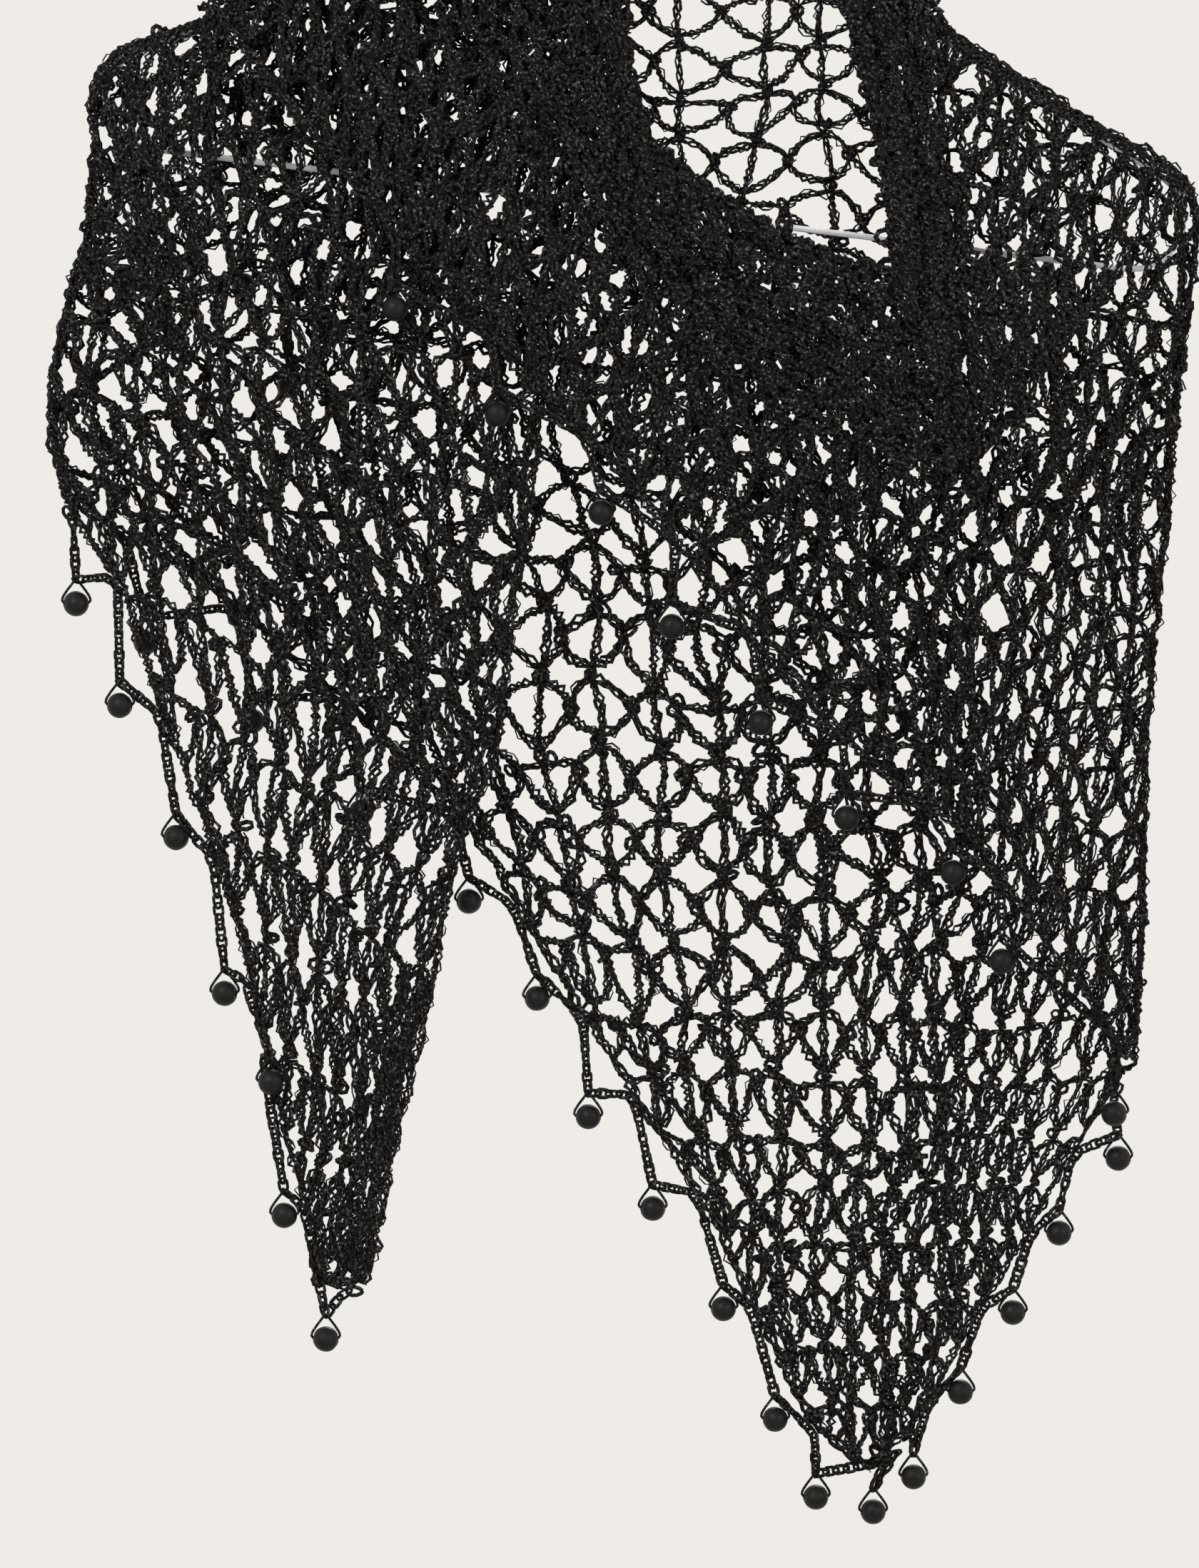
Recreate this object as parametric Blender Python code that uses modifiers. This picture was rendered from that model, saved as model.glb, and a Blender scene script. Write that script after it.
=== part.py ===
"""Triangular crochet shawl with a beaded edging, draped over a white wire hanger.

Metres, +Z up, -Y towards the viewer. The origin is the point of the hook that hangs on a rail.
The shawl is one triangle of lace. It hangs behind the hanger as the back, comes over the left
shoulder as the left wing, and over the right shoulder as the right wing, whose neck edge is turned
down as a collar flap and whose tip is thrown back over the left shoulder as the tail.
"""
import math

import bmesh
import bpy
from mathutils import Vector

# Hanger: one bent wire, hanging a few degrees off level under the uneven cloth
WIRE = 0.0024
HANGER_WIDTH = 0.426
HANGER_RISE = 0.132
SHOULDER_SLOPE = math.radians(25)
HANGER_TILT = math.radians(7)
HOOK_RISE = 0.095
HOOK_RADIUS = 0.0215
STEM_RISE = 0.040
TWIST_TURNS = 3
TWIST_PITCH = 0.0036

# Cloth: a crochet wall, and the small gap that keeps neighbouring pieces apart
CLOTH = 0.0024
GAP = 0.0003
SEAM_SETBACK = 0.0004
LAYER = CLOTH + 0.0020
FLAP_LIFT = 0.0050
CREST = WIRE / 2 + 0.0013 + CLOTH / 2
SIDE_ROUND = 0.018
HANG_LENGTH = 0.090
BACK_DEPTH = 0.011
FRONT_DEPTH = 0.009
COWL_DEPTH = 0.022

# Beaded edging: a crocheted chain in loops, a round bead in the bottom of each
CHAIN = 0.0022
BEAD = 0.0100
LOOP_HALF_WIDTH = 0.0020
FOOT_HALF_LENGTH = 0.0030

CLOTH_LOOK = {"color": (0.012, 0.012, 0.014, 1), "roughness": 0.72, "metallic": 0.0}
BEAD_LOOK = {"color": (0.018, 0.016, 0.015, 1), "roughness": 0.45, "metallic": 0.0}
WIRE_LOOK = {"color": (0.86, 0.87, 0.88, 1), "roughness": 0.30, "metallic": 0.0}

# Outline of the bag that the cloth makes round the hanger, seen from the front: x, z
LEFT_CREST_END = ((-0.242, -0.182), (-0.239, -0.170), (-0.229, -0.161), (-0.209, -0.155))
RIGHT_CREST_END = ((0.163, -0.198), (0.182, -0.209), (0.189, -0.216), (0.192, -0.229))
LEFT_SIDE = (
    (-0.242, -0.182), (-0.240, -0.206), (-0.243, -0.236), (-0.251, -0.262),
    (-0.257, -0.290), (-0.258, -0.312), (-0.252, -0.338),
)
RIGHT_SIDE = (
    (0.192, -0.229), (0.188, -0.264), (0.184, -0.295), (0.180, -0.339),
    (0.174, -0.395), (0.171, -0.451), (0.170, -0.507), (0.167, -0.560),
)
NECK_LEFT_X = -0.033
NECK_RIGHT_X = 0.048

# Free edges: x, z
BACK_LEFT_HEM = (
    (-0.252, -0.338), (-0.205, -0.366), (-0.150, -0.412), (-0.094, -0.468), (-0.057, -0.528),
    (-0.027, -0.576), (0.001, -0.619), (0.021, -0.662), (0.043, -0.706), (0.066, -0.721),
)
BACK_RIGHT_HEM = (
    (0.066, -0.721), (0.084, -0.699), (0.104, -0.662), (0.127, -0.627), (0.142, -0.599), (0.167, -0.560),
)
LEFT_WING_HEM = (
    (-0.252, -0.338), (-0.229, -0.373), (-0.210, -0.431), (-0.191, -0.482), (-0.179, -0.521),
    (-0.169, -0.570), (-0.154, -0.622), (-0.152, -0.646),
)
LEFT_WING_NECK_EDGE = (
    (NECK_LEFT_X, -0.0985), (-0.040, -0.143), (-0.050, -0.199), (-0.061, -0.269), (-0.069, -0.334),
    (-0.078, -0.390), (-0.083, -0.436), (-0.094, -0.467), (-0.102, -0.491), (-0.108, -0.528),
    (-0.119, -0.575), (-0.134, -0.646),
)
RIGHT_WING_HEM = (
    (0.167, -0.560), (0.148, -0.535), (0.125, -0.505), (0.104, -0.472), (0.066, -0.446),
    (0.032, -0.412), (0.000, -0.372), (-0.032, -0.332), (-0.070, -0.292), (-0.110, -0.251),
    (-0.146, -0.207), (-0.178, -0.172),
)
NECK_RIDGE = (
    (0.054, -0.149), (0.064, -0.190), (0.070, -0.236), (0.071, -0.251), (0.058, -0.251),
    (0.030, -0.238), (0.000, -0.221), (-0.025, -0.200), (-0.031, -0.172), (-0.033, -0.149),
)
TAIL_HEM = ((-0.200, -0.150), (-0.190, -0.188), (-0.176, -0.228), (-0.160, -0.266), (-0.146, -0.300))
TAIL_NECK_EDGE = ((-0.060, -0.104), (-0.074, -0.160), (-0.094, -0.215), (-0.116, -0.262), (-0.134, -0.300))
LEFT_WING_FOOT = (LEFT_WING_HEM[-1], LEFT_WING_NECK_EDGE[-1])

# Soft folds: the line that each follows, its half width, and how far it stands out
FOLD_COLUMNS = ("x_top", "z_top", "x_end", "z_end", "half_width", "height")
BACK_FOLDS = (
    (0.108, -0.300, 0.112, -0.590, 0.016, 0.008),
    (0.030, -0.260, 0.048, -0.700, 0.020, 0.006),
    (-0.045, -0.240, -0.010, -0.590, 0.018, 0.007),
    (-0.120, -0.200, -0.105, -0.430, 0.020, 0.006),
    (-0.200, -0.230, -0.190, -0.360, 0.016, 0.005),
    (0.072, -0.450, 0.070, -0.715, 0.012, 0.006),
)
LEFT_WING_FOLDS = (
    (-0.222, -0.200, -0.226, -0.330, 0.014, 0.007),
    (-0.180, -0.210, -0.160, -0.600, 0.016, 0.006),
    (-0.130, -0.200, -0.134, -0.560, 0.015, 0.007),
    (-0.090, -0.260, -0.104, -0.460, 0.013, 0.005),
)
RIGHT_WING_FOLDS = (
    (0.176, -0.240, 0.070, -0.325, 0.024, 0.011),
    (0.130, -0.320, 0.010, -0.320, 0.022, 0.007),
    (0.150, -0.330, 0.143, -0.520, 0.022, 0.008),
    (0.100, -0.350, 0.108, -0.450, 0.020, 0.006),
    (-0.010, -0.235, -0.130, -0.180, 0.022, 0.007),
    (0.020, -0.290, -0.090, -0.235, 0.020, 0.006),
)
TAIL_FOLDS = (
    (-0.140, -0.150, -0.166, -0.290, 0.014, 0.006),
    (-0.100, -0.140, -0.150, -0.270, 0.012, 0.005),
)

# Beads of each hem from its high end: the middle, and how far below the hem its chain lets it down
BEAD_COLUMNS = ("x", "z", "drop")
LEFT_WING_BEADS = (
    (-0.2472, -0.3805, 0.031), (-0.2299, -0.4203, 0.044), (-0.2080, -0.4718, 0.042), (-0.1890, -0.5326, 0.047),
    (-0.1702, -0.5664, 0.031), (-0.1655, -0.6188, 0.054), (-0.1495, -0.6672, 0.045),
)
BACK_LEFT_BEADS = (
    (-0.2220, -0.3950, 0.040), (-0.1800, -0.4260, 0.040), (-0.1370, -0.4620, 0.040), (-0.0944, -0.4973, 0.030),
    (-0.0675, -0.5356, 0.032), (-0.0473, -0.5824, 0.036), (-0.0218, -0.6188, 0.039), (0.0062, -0.6583, 0.040),
    (0.0266, -0.7020, 0.039), (0.0428, -0.7333, 0.023), (0.0655, -0.7392, 0.019),
)
BACK_RIGHT_BEADS = (
    (0.1618, -0.5987, 0.022), (0.1386, -0.6283, 0.026), (0.1204, -0.6597, 0.027), (0.0997, -0.6911, 0.028),
    (0.0812, -0.7247, 0.024),
)
RIGHT_WING_BEADS = (
    (-0.1221, -0.2668, 0.026), (-0.0826, -0.3074, 0.026), (-0.0423, -0.3455, 0.026), (-0.0148, -0.3898, 0.030),
    (0.0199, -0.4270, 0.030), (0.0535, -0.4642, 0.028), (0.0949, -0.4855, 0.022), (0.1140, -0.5200, 0.028),
    (0.1579, -0.5796, 0.026),
)
TAIL_BEADS = (
    (-0.1960, -0.2120, 0.040), (-0.1840, -0.2530, 0.040), (-0.1660, -0.2930, 0.040), (-0.1430, -0.3290, 0.034),
)


def smooth(share):
    share = min(1.0, max(0.0, share))
    return share * share * (3 - 2 * share)


def rounded(share):
    """A quarter ellipse: how far cloth stands off where it turns round an edge, 0 on it to 1."""
    return math.sqrt(1 - (1 - min(1.0, max(0.0, share))) ** 2)


def hanger_point(across, up):
    """A place in the hanger's own plane, from the middle of its bar, as x and z."""
    drop = up - HANGER_RISE - HOOK_RISE
    cos_tilt, sin_tilt = math.cos(HANGER_TILT), math.sin(HANGER_TILT)
    return (across * cos_tilt + drop * sin_tilt, drop * cos_tilt - across * sin_tilt)


def along(line, share):
    """The place at this share of a line's length."""
    lengths = [math.dist(a, b) for a, b in zip(line, line[1:])]
    left = min(1.0, max(0.0, share)) * sum(lengths)
    for (a, b), length in zip(zip(line, line[1:]), lengths):
        if left <= length:
            part = left / length
            return (a[0] + part * (b[0] - a[0]), a[1] + part * (b[1] - a[1]))
        left -= length
    return line[-1]


def interpolate(rows, key):
    """The second column at this value of the first, which rises."""
    if key <= rows[0][0]:
        return rows[0][1]
    for (x0, y0), (x1, y1) in zip(rows, rows[1:]):
        if key <= x1:
            return y0 + (y1 - y0) * (key - x0) / (x1 - x0)
    return rows[-1][1]


def share_at_height(line, z):
    """The share of a falling line's length at which it comes to this height."""
    run = [math.dist(a, b) for a, b in zip(line, line[1:])]
    rows = [(z0, sum(run[:i]) / sum(run)) for i, (_, z0) in enumerate(line)]
    return interpolate(sorted(rows), z)


def shoulder_crest(side):
    """The line of the cloth's middle over one shoulder wire, from the neck out."""
    rows = []
    for across in (0.004, 0.060, 0.120, 0.165):
        up = HANGER_RISE - across * math.tan(SHOULDER_SLOPE) + CREST / math.cos(SHOULDER_SLOPE)
        rows.append(hanger_point(side * across, up))
    return rows


CREST_LINE = LEFT_CREST_END + tuple(reversed(shoulder_crest(-1))) + tuple(shoulder_crest(1)) + RIGHT_CREST_END
LEFT_SIDE_BY_HEIGHT = tuple((z, x) for x, z in reversed(LEFT_SIDE))
RIGHT_SIDE_BY_HEIGHT = tuple((z, x) for x, z in reversed(RIGHT_SIDE))
SHOULDER_COS = math.cos(SHOULDER_SLOPE)


def crest_height(x):
    return interpolate(CREST_LINE, x)


def below_crest(x, z):
    return (crest_height(x) - z) * SHOULDER_COS


def from_side(x, z):
    """How far inside the left and right outline a place is."""
    return min(x - interpolate(LEFT_SIDE_BY_HEIGHT, z), interpolate(RIGHT_SIDE_BY_HEIGHT, z) - x)


def folds(table, x, z):
    """How far the soft folds stand out at a place: a rounded ridge along each fold's line."""
    total = 0.0
    for row in table:
        fold = dict(zip(FOLD_COLUMNS, row))
        start = Vector((fold["x_top"], fold["z_top"]))
        run = Vector((fold["x_end"], fold["z_end"])) - start
        place = Vector((x, z)) - start
        share = min(1.0, max(0.0, place.dot(run) / run.length_squared))
        off = (place - run * share).length / fold["half_width"]
        total = max(total, fold["height"] * math.exp(-off * off))
    return total


def depth(x, z, deep, lift=0.0):
    """How far a layer stands off the hanger's plane. It turns round the crest and the sides."""
    turn = CREST + lift
    crest = below_crest(x, z) + lift
    side = from_side(x, z)
    wrap = turn * rounded(min(crest, side + lift) / turn)
    return wrap + deep * smooth(crest / HANG_LENGTH) * rounded(side / SIDE_ROUND)


def hung_share(x, z):
    """0 on the crest and the side outlines, 1 well inside, so that folds die out there."""
    return smooth(below_crest(x, z) / 0.030) * smooth(from_side(x, z) / 0.020)


def over_left_wing(x):
    """1 where the right wing lies on the left wing, 0 right of it."""
    return smooth((0.015 - x) / 0.035)


def back_depth(x, z):
    behind_stem = 0.0030 * smooth((0.040 - abs(x)) / 0.030) * smooth((z + 0.150) / 0.030)
    return depth(x, z, BACK_DEPTH) + behind_stem + folds(BACK_FOLDS, x, z) * hung_share(x, z)


def left_wing_depth(x, z):
    return depth(x, z, FRONT_DEPTH) + folds(LEFT_WING_FOLDS, x, z) * hung_share(x, z)


def cowl(x, z):
    """The forward sag of the turned-down neck edge."""
    reach = math.exp(-(((x - 0.045) / 0.085) ** 2) - ((z + 0.275) / 0.085) ** 2)
    return COWL_DEPTH * reach * smooth(below_crest(x, z) / 0.110) * smooth(from_side(x, z) / 0.060)


def right_wing_depth(x, z):
    over = over_left_wing(x)
    under = folds(LEFT_WING_FOLDS, x, z) * hung_share(x, z) * over
    own = folds(RIGHT_WING_FOLDS, x, z) * hung_share(x, z)
    return depth(x, z, FRONT_DEPTH, LAYER * over) + under + own + cowl(x, z)


def tail_depth(x, z):
    own = folds(TAIL_FOLDS, x, z) * smooth(below_crest(x, z) / 0.030)
    return depth(x, z, BACK_DEPTH, LAYER) + folds(BACK_FOLDS, x, z) * hung_share(x, z) + own


def spread_shares(close, count):
    """Shares of a side: a few close to its start, then even ones."""
    return list(close) + [close[-1] + (1 - close[-1]) * i / count for i in range(1, count + 1)]


def both_ends(close, count):
    first = [s for s in close]
    middle = [close[-1] + (1 - 2 * close[-1]) * i / count for i in range(1, count)]
    return first + middle + [1 - s for s in reversed(close)]


def patch(top, bottom, left, right):
    """A place between four edge lines, by share across and share down."""
    def place(u, v):
        t, b, l, r = along(top, u), along(bottom, u), along(left, v), along(right, v)
        corner = [
            (1 - u) * (1 - v) * top[0][i] + u * (1 - v) * top[-1][i]
            + (1 - u) * v * bottom[0][i] + u * v * bottom[-1][i]
            for i in (0, 1)
        ]
        return tuple((1 - v) * t[i] + v * b[i] + (1 - u) * l[i] + u * r[i] - corner[i] for i in (0, 1))
    return place


def sheet(name, grid, material):
    """A cloth wall: an open grid of points, thickened evenly about its middle."""
    mesh = bpy.data.meshes.new(name)
    work = bmesh.new()
    points = [[work.verts.new(p) for p in row] for row in grid]
    for low, high in zip(points, points[1:]):
        for i in range(len(low) - 1):
            work.faces.new((low[i], low[i + 1], high[i + 1], high[i]))
    bmesh.ops.recalc_face_normals(work, faces=work.faces)
    work.to_mesh(mesh)
    work.free()
    mesh.shade_smooth()
    wall = bpy.data.objects.new(name, mesh)
    shell = wall.modifiers.new("cloth thickness", "SOLIDIFY")
    shell.thickness = CLOTH
    shell.offset = 0.0
    return finish(wall, material)


def finish(item, material):
    PARTS.objects.link(item)
    item.data.materials.append(material)
    return item


def look(name, values):
    material = bpy.data.materials.new(name)
    material.use_nodes = True
    shader = material.node_tree.nodes["Principled BSDF"]
    shader.inputs["Base Color"].default_value = values["color"]
    shader.inputs["Roughness"].default_value = values["roughness"]
    shader.inputs["Metallic"].default_value = values["metallic"]
    material.diffuse_color = values["color"]
    return material


def tube(name, points, diameter, material, resolution):
    curve = bpy.data.curves.new(name, "CURVE")
    curve.dimensions = "3D"
    curve.bevel_depth = diameter / 2
    curve.bevel_resolution = resolution
    curve.use_fill_caps = True
    spline = curve.splines.new("POLY")
    spline.points.add(len(points) - 1)
    for place, point in zip(spline.points, points):
        place.co = (*point, 1)
    return finish(bpy.data.objects.new(name, curve), material)


# Hanger

def arc(centre, radius, start, end, steps):
    angles = [math.radians(start + (end - start) * i / steps) for i in range(steps + 1)]
    return [(centre[0] + radius * math.cos(a), centre[1] + radius * math.sin(a)) for a in angles]


def hanger_route():
    """The wire from the tip of the hook to the end of its twist round the stem."""
    slope = math.degrees(SHOULDER_SLOPE)
    tan_slope, cos_slope = math.tan(SHOULDER_SLOPE), math.cos(SHOULDER_SLOPE)
    half = HANGER_WIDTH / 2
    bend = (HANGER_RISE - half * tan_slope) / (1 + 1 / cos_slope - tan_slope)
    hook_centre = (0.0, HANGER_RISE + HOOK_RISE - HOOK_RADIUS + WIRE / 2)
    stem_top = (0.0, HANGER_RISE + STEM_RISE)
    hook = arc(hook_centre, HOOK_RADIUS, 200, -48, 22)
    neck = [(0.0095, stem_top[1] + 0.0072), (0.0032, stem_top[1] + 0.0030), stem_top]
    stem = [(0.0, HANGER_RISE + 0.010), (-0.0008, HANGER_RISE + 0.0040), (-0.0040, HANGER_RISE + 0.0005)]
    left_neck = [(-0.014, HANGER_RISE - 0.014 * tan_slope)]
    right_neck = [(0.034, HANGER_RISE - 0.034 * tan_slope)]
    left_bend = arc((-(half - bend), bend), bend, 90 + slope, 270, 9)
    right_bend = arc((half - bend, bend), bend, -90, 90 - slope, 9)
    flat = hook + neck + stem + left_neck + left_bend + right_bend + right_neck
    route = [(*hanger_point(a, b), 0.0) for a, b in flat]
    route = [(x, y, z) for x, z, y in route]
    radius = WIRE + 2 * GAP
    start_up = HANGER_RISE + 0.0055
    steps = 10 * TWIST_TURNS
    for i in range(steps + 1):
        turn = 2 * math.pi * i / 10
        x, z = hanger_point(radius * math.cos(turn), start_up + TWIST_PITCH * i / 10)
        route.append((x, -radius * math.sin(turn), z))
    return route


def build_hanger():
    return tube("hanger", hanger_route(), WIRE, WIRE_MATERIAL, 2)


# Cloth

def build_back():
    left_half = [p for p in CREST_LINE if p[0] < NECK_LEFT_X]
    right_half = [p for p in CREST_LINE if p[0] > NECK_RIGHT_X]
    neck = [(NECK_LEFT_X, crest_height(NECK_LEFT_X)), (NECK_RIGHT_X, crest_height(NECK_RIGHT_X))]
    top = left_half + neck + right_half
    place = patch(top, list(BACK_LEFT_HEM) + list(BACK_RIGHT_HEM[1:]), LEFT_SIDE, RIGHT_SIDE)
    grid = []
    for v in spread_shares((0.0, 0.0003, 0.0018, 0.008, 0.03), 18):
        row = []
        for u in both_ends((0.0, 0.0006, 0.004, 0.013, 0.034), 24):
            x, z = place(u, v)
            row.append((x, SEAM_SETBACK + back_depth(x, z), z))
        grid.append(row)
    return sheet("shawl_back", grid, CLOTH_MATERIAL)


def build_left_wing():
    top = [p for p in CREST_LINE if p[0] < NECK_LEFT_X] + [(NECK_LEFT_X, crest_height(NECK_LEFT_X))]
    outer = list(LEFT_SIDE) + list(LEFT_WING_HEM[1:])
    place = patch(top, LEFT_WING_FOOT, outer, LEFT_WING_NECK_EDGE)
    grid = []
    for v in spread_shares((0.0, 0.0003, 0.0018, 0.008, 0.03), 24):
        row = []
        for u in spread_shares((0.0, 0.0008, 0.007, 0.028, 0.07), 11):
            x, z = place(u, v)
            row.append((x, -SEAM_SETBACK - left_wing_depth(x, z), z))
        grid.append(row)
    return sheet("shawl_left_wing", grid, CLOTH_MATERIAL)


def right_wing_place():
    """The right wing by share round the neck, from the right shoulder to the left, and share out."""
    right_crest = [(NECK_RIGHT_X, crest_height(NECK_RIGHT_X))] + [p for p in CREST_LINE if p[0] > NECK_RIGHT_X]
    raised = LAYER / SHOULDER_COS
    left_crest = [(x, crest_height(x) + raised) for x in (NECK_LEFT_X, -0.088, -0.143, TAIL_HEM[0][0])]
    ridge = [right_crest[0], *NECK_RIDGE, left_crest[0]]
    outer = [right_crest[-1], *RIGHT_SIDE[1:-1], *RIGHT_WING_HEM, left_crest[-1]]
    return patch(ridge, outer, right_crest, left_crest)


def lift_direction(x, z):
    """The way a doubled layer lies out: towards the viewer, and upwards where it goes over the crest."""
    turn = 0.5 * math.pi * min(1.0, below_crest(x, z) / (2 * CREST))
    return Vector((0.0, -math.sin(turn), math.cos(turn)))


FLAP_WIDTH_COLUMNS = ("round", "share")
FLAP_WIDTHS = (
    (0.00, 0.33), (0.12, 0.34), (0.25, 0.33), (0.38, 0.29), (0.50, 0.36), (0.62, 0.42), (0.75, 0.48), (1.00, 0.52),
)


def build_right_wing():
    place = right_wing_place()

    def surface(u, v, lift=0.0):
        x, z = place(u, v)
        return Vector((x, -SEAM_SETBACK - right_wing_depth(x, z), z)) + lift * FLAP_LIFT * lift_direction(x, z)

    flap_shares = (1.0, 0.82, 0.64, 0.46, 0.28, 0.12, 0.045)
    main_shares = [0.006, 0.022, 0.06] + [0.06 + 0.91 * i / 12 for i in range(1, 13)] + [0.992, 0.9985, 1.0]
    grid = []
    for u in both_ends((0.0, 0.0005, 0.004, 0.016, 0.045), 26):
        flap = interpolate(FLAP_WIDTHS, u)
        row = []
        for w in flap_shares:
            v = 0.022 + w * (flap - 0.022)
            row.append(surface(u, v, 1.0))
        row += [surface(u, 0.008, 0.93), surface(u, 0.0, 0.5)]
        row += [surface(u, v) for v in main_shares]
        grid.append([(p.x, min(p.y, -SEAM_SETBACK), p.z) for p in row])
    return sheet("shawl_right_wing", grid, CLOTH_MATERIAL)


def build_tail():
    raised = LAYER / SHOULDER_COS
    top = [(x, crest_height(x) + raised) for x in (TAIL_HEM[0][0], -0.150, -0.105, TAIL_NECK_EDGE[0][0])]
    hem = [top[0], *TAIL_HEM[1:]]
    neck_edge = [top[-1], *TAIL_NECK_EDGE[1:]]
    place = patch(top, (hem[-1], neck_edge[-1]), hem, neck_edge)
    grid = []
    for v in spread_shares((0.0, 0.0006, 0.006, 0.025), 9):
        row = []
        for i in range(9):
            x, z = place(i / 8, v)
            row.append((x, SEAM_SETBACK + tail_depth(x, z), z))
        grid.append(row)
    return sheet("shawl_tail", grid, CLOTH_MATERIAL)


# Edging

def on_hem(line, layer, share):
    x, z = along(line, share)
    return Vector((x, layer["side"] * (SEAM_SETBACK + layer["depth"](x, z)), z))


def beyond_hem(line, layer, share):
    """The chain's middle where it is crocheted to a hem: the place, and the way along the hem."""
    before, after = on_hem(line, layer, share - 0.006), on_hem(line, layer, share + 0.006)
    run = (after - before).normalized()
    out = Vector((-run.z, 0.0, run.x)).normalized()
    if out.dot(Vector((layer["outward"][0], 0.0, layer["outward"][1]))) < 0:
        out = -out
    return on_hem(line, layer, share) + out * (CHAIN / 2 + layer["hem_gap"]), run * FOOT_HALF_LENGTH


def clear_of_cloth(point, layer, radius, margin=0.0005):
    """The point brought out until a body of this radius there clears the cloth that it lies on."""
    side, below = layer["side"], layer["under"](point.x, point.z, margin)
    if not below:
        return point
    reach = SEAM_SETBACK + below + 0.8 * CLOTH + GAP + radius
    return Vector((point.x, side * max(side * point.y, reach), point.z))


def build_edging(name, line, layer, table, first_bead):
    """A chain that is joined to a hem above each bead, and let down in a loop to the bead between."""
    beads = [dict(zip(BEAD_COLUMNS, row)) for row in table]
    shares = [share_at_height(line, bead["z"] + BEAD / 2 + bead["drop"]) for bead in beads]
    shares.append(layer["end"])
    feet = [beyond_hem(line, layer, share) for share in shares]
    route = []
    for i, (foot, run) in enumerate(feet):
        route += [foot - run, foot + run]
        if i == len(beads):
            break
        bead = Vector((beads[i]["x"], foot.y, beads[i]["z"]))
        bead = clear_of_cloth(bead, layer, BEAD / 2 + CHAIN, BEAD / 2 + CHAIN)
        bottom = bead + Vector((0.0, 0.0, BEAD / 2 + GAP + CHAIN / 2))
        toward = Vector((LOOP_HALF_WIDTH if run.x >= 0 else -LOOP_HALF_WIDTH, 0.0, 0.0))
        rise = Vector((0.0, 0.0, LOOP_HALF_WIDTH))
        next_foot = feet[i + 1][0] - feet[i + 1][1]
        down = [(foot + run).lerp(bottom - toward + rise, share) for share in (0.35, 0.7)]
        up = [(bottom + toward + rise).lerp(next_foot, share) for share in (0.3, 0.65)]
        loop = [*down, bottom - toward + rise, bottom, bottom + toward + rise, *up]
        route += [clear_of_cloth(p, layer, CHAIN / 2) for p in loop]
        build_bead(first_bead + i, bead)
    tube(name, [tuple(p) for p in route], CHAIN, CLOTH_MATERIAL, 0)
    return first_bead + len(beads)


def build_bead(number, centre):
    mesh = bpy.data.meshes.new(f"bead_{number:02d}")
    ball = bmesh.new()
    bmesh.ops.create_uvsphere(ball, u_segments=8, v_segments=5, radius=BEAD / 2)
    ball.to_mesh(mesh)
    ball.free()
    mesh.shade_smooth()
    bead = bpy.data.objects.new(mesh.name, mesh)
    bead.location = centre
    return finish(bead, BEAD_MATERIAL)


def over_nothing(x, z, margin):
    return 0.0


def over_left_wing_cloth(x, z, margin):
    hem = interpolate(tuple((b, a) for a, b in reversed(LEFT_WING_HEM)), z)
    neck_edge = interpolate(tuple((b, a) for a, b in reversed(LEFT_WING_NECK_EDGE)), z)
    inside = hem - margin < x < neck_edge + margin and z > LEFT_WING_HEM[-1][1] - margin
    return left_wing_depth(x, z) if inside else 0.0


def over_back_cloth(x, z, margin):
    return back_depth(x, z)


LAYER_COLUMNS = ("depth", "side", "outward", "under", "end", "hem_gap")
LEFT_WING_LAYER = dict(zip(LAYER_COLUMNS, (left_wing_depth, -1, (-0.97, -0.26), over_left_wing_cloth, 0.985, 0.0015)))
BACK_LEFT_LAYER = dict(zip(LAYER_COLUMNS, (back_depth, 1, (-0.6, -0.8), over_nothing, 0.985, 0.0015)))
BACK_RIGHT_LAYER = dict(zip(LAYER_COLUMNS, (back_depth, 1, (0.6, -0.8), over_nothing, 0.90, 0.0008)))
RIGHT_WING_LAYER = dict(zip(LAYER_COLUMNS, (right_wing_depth, -1, (-0.7, -0.7), over_left_wing_cloth, 0.985, 0.0006)))
TAIL_LAYER = dict(zip(LAYER_COLUMNS, (tail_depth, 1, (-1.0, -0.1), over_back_cloth, 0.985, 0.0003)))


def build_edgings():
    left_wing = (*LEFT_WING_HEM, LEFT_WING_NECK_EDGE[-1])
    back_left = (*BACK_LEFT_HEM, (0.073, -0.713))
    tail = (*TAIL_HEM, TAIL_NECK_EDGE[-1])
    bead = build_edging("edging_left_wing", left_wing, LEFT_WING_LAYER, LEFT_WING_BEADS, 1)
    bead = build_edging("edging_back_left", back_left, BACK_LEFT_LAYER, BACK_LEFT_BEADS, bead)
    bead = build_edging("edging_back_right", BACK_RIGHT_HEM[::-1], BACK_RIGHT_LAYER, BACK_RIGHT_BEADS, bead)
    bead = build_edging("edging_right_wing", RIGHT_WING_HEM[::-1], RIGHT_WING_LAYER, RIGHT_WING_BEADS, bead)
    return build_edging("edging_tail", tail, TAIL_LAYER, TAIL_BEADS, bead)


def clear_scene():
    for item in list(bpy.data.objects):
        bpy.data.objects.remove(item)


clear_scene()
PARTS = bpy.data.collections.new("crochet shawl on hanger")
bpy.context.scene.collection.children.link(PARTS)
CLOTH_MATERIAL = look("black crochet yarn", CLOTH_LOOK)
BEAD_MATERIAL = look("black wooden bead", BEAD_LOOK)
WIRE_MATERIAL = look("white coated wire", WIRE_LOOK)
build_hanger()
build_back()
build_left_wing()
build_right_wing()
build_tail()
build_edgings()
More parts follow.
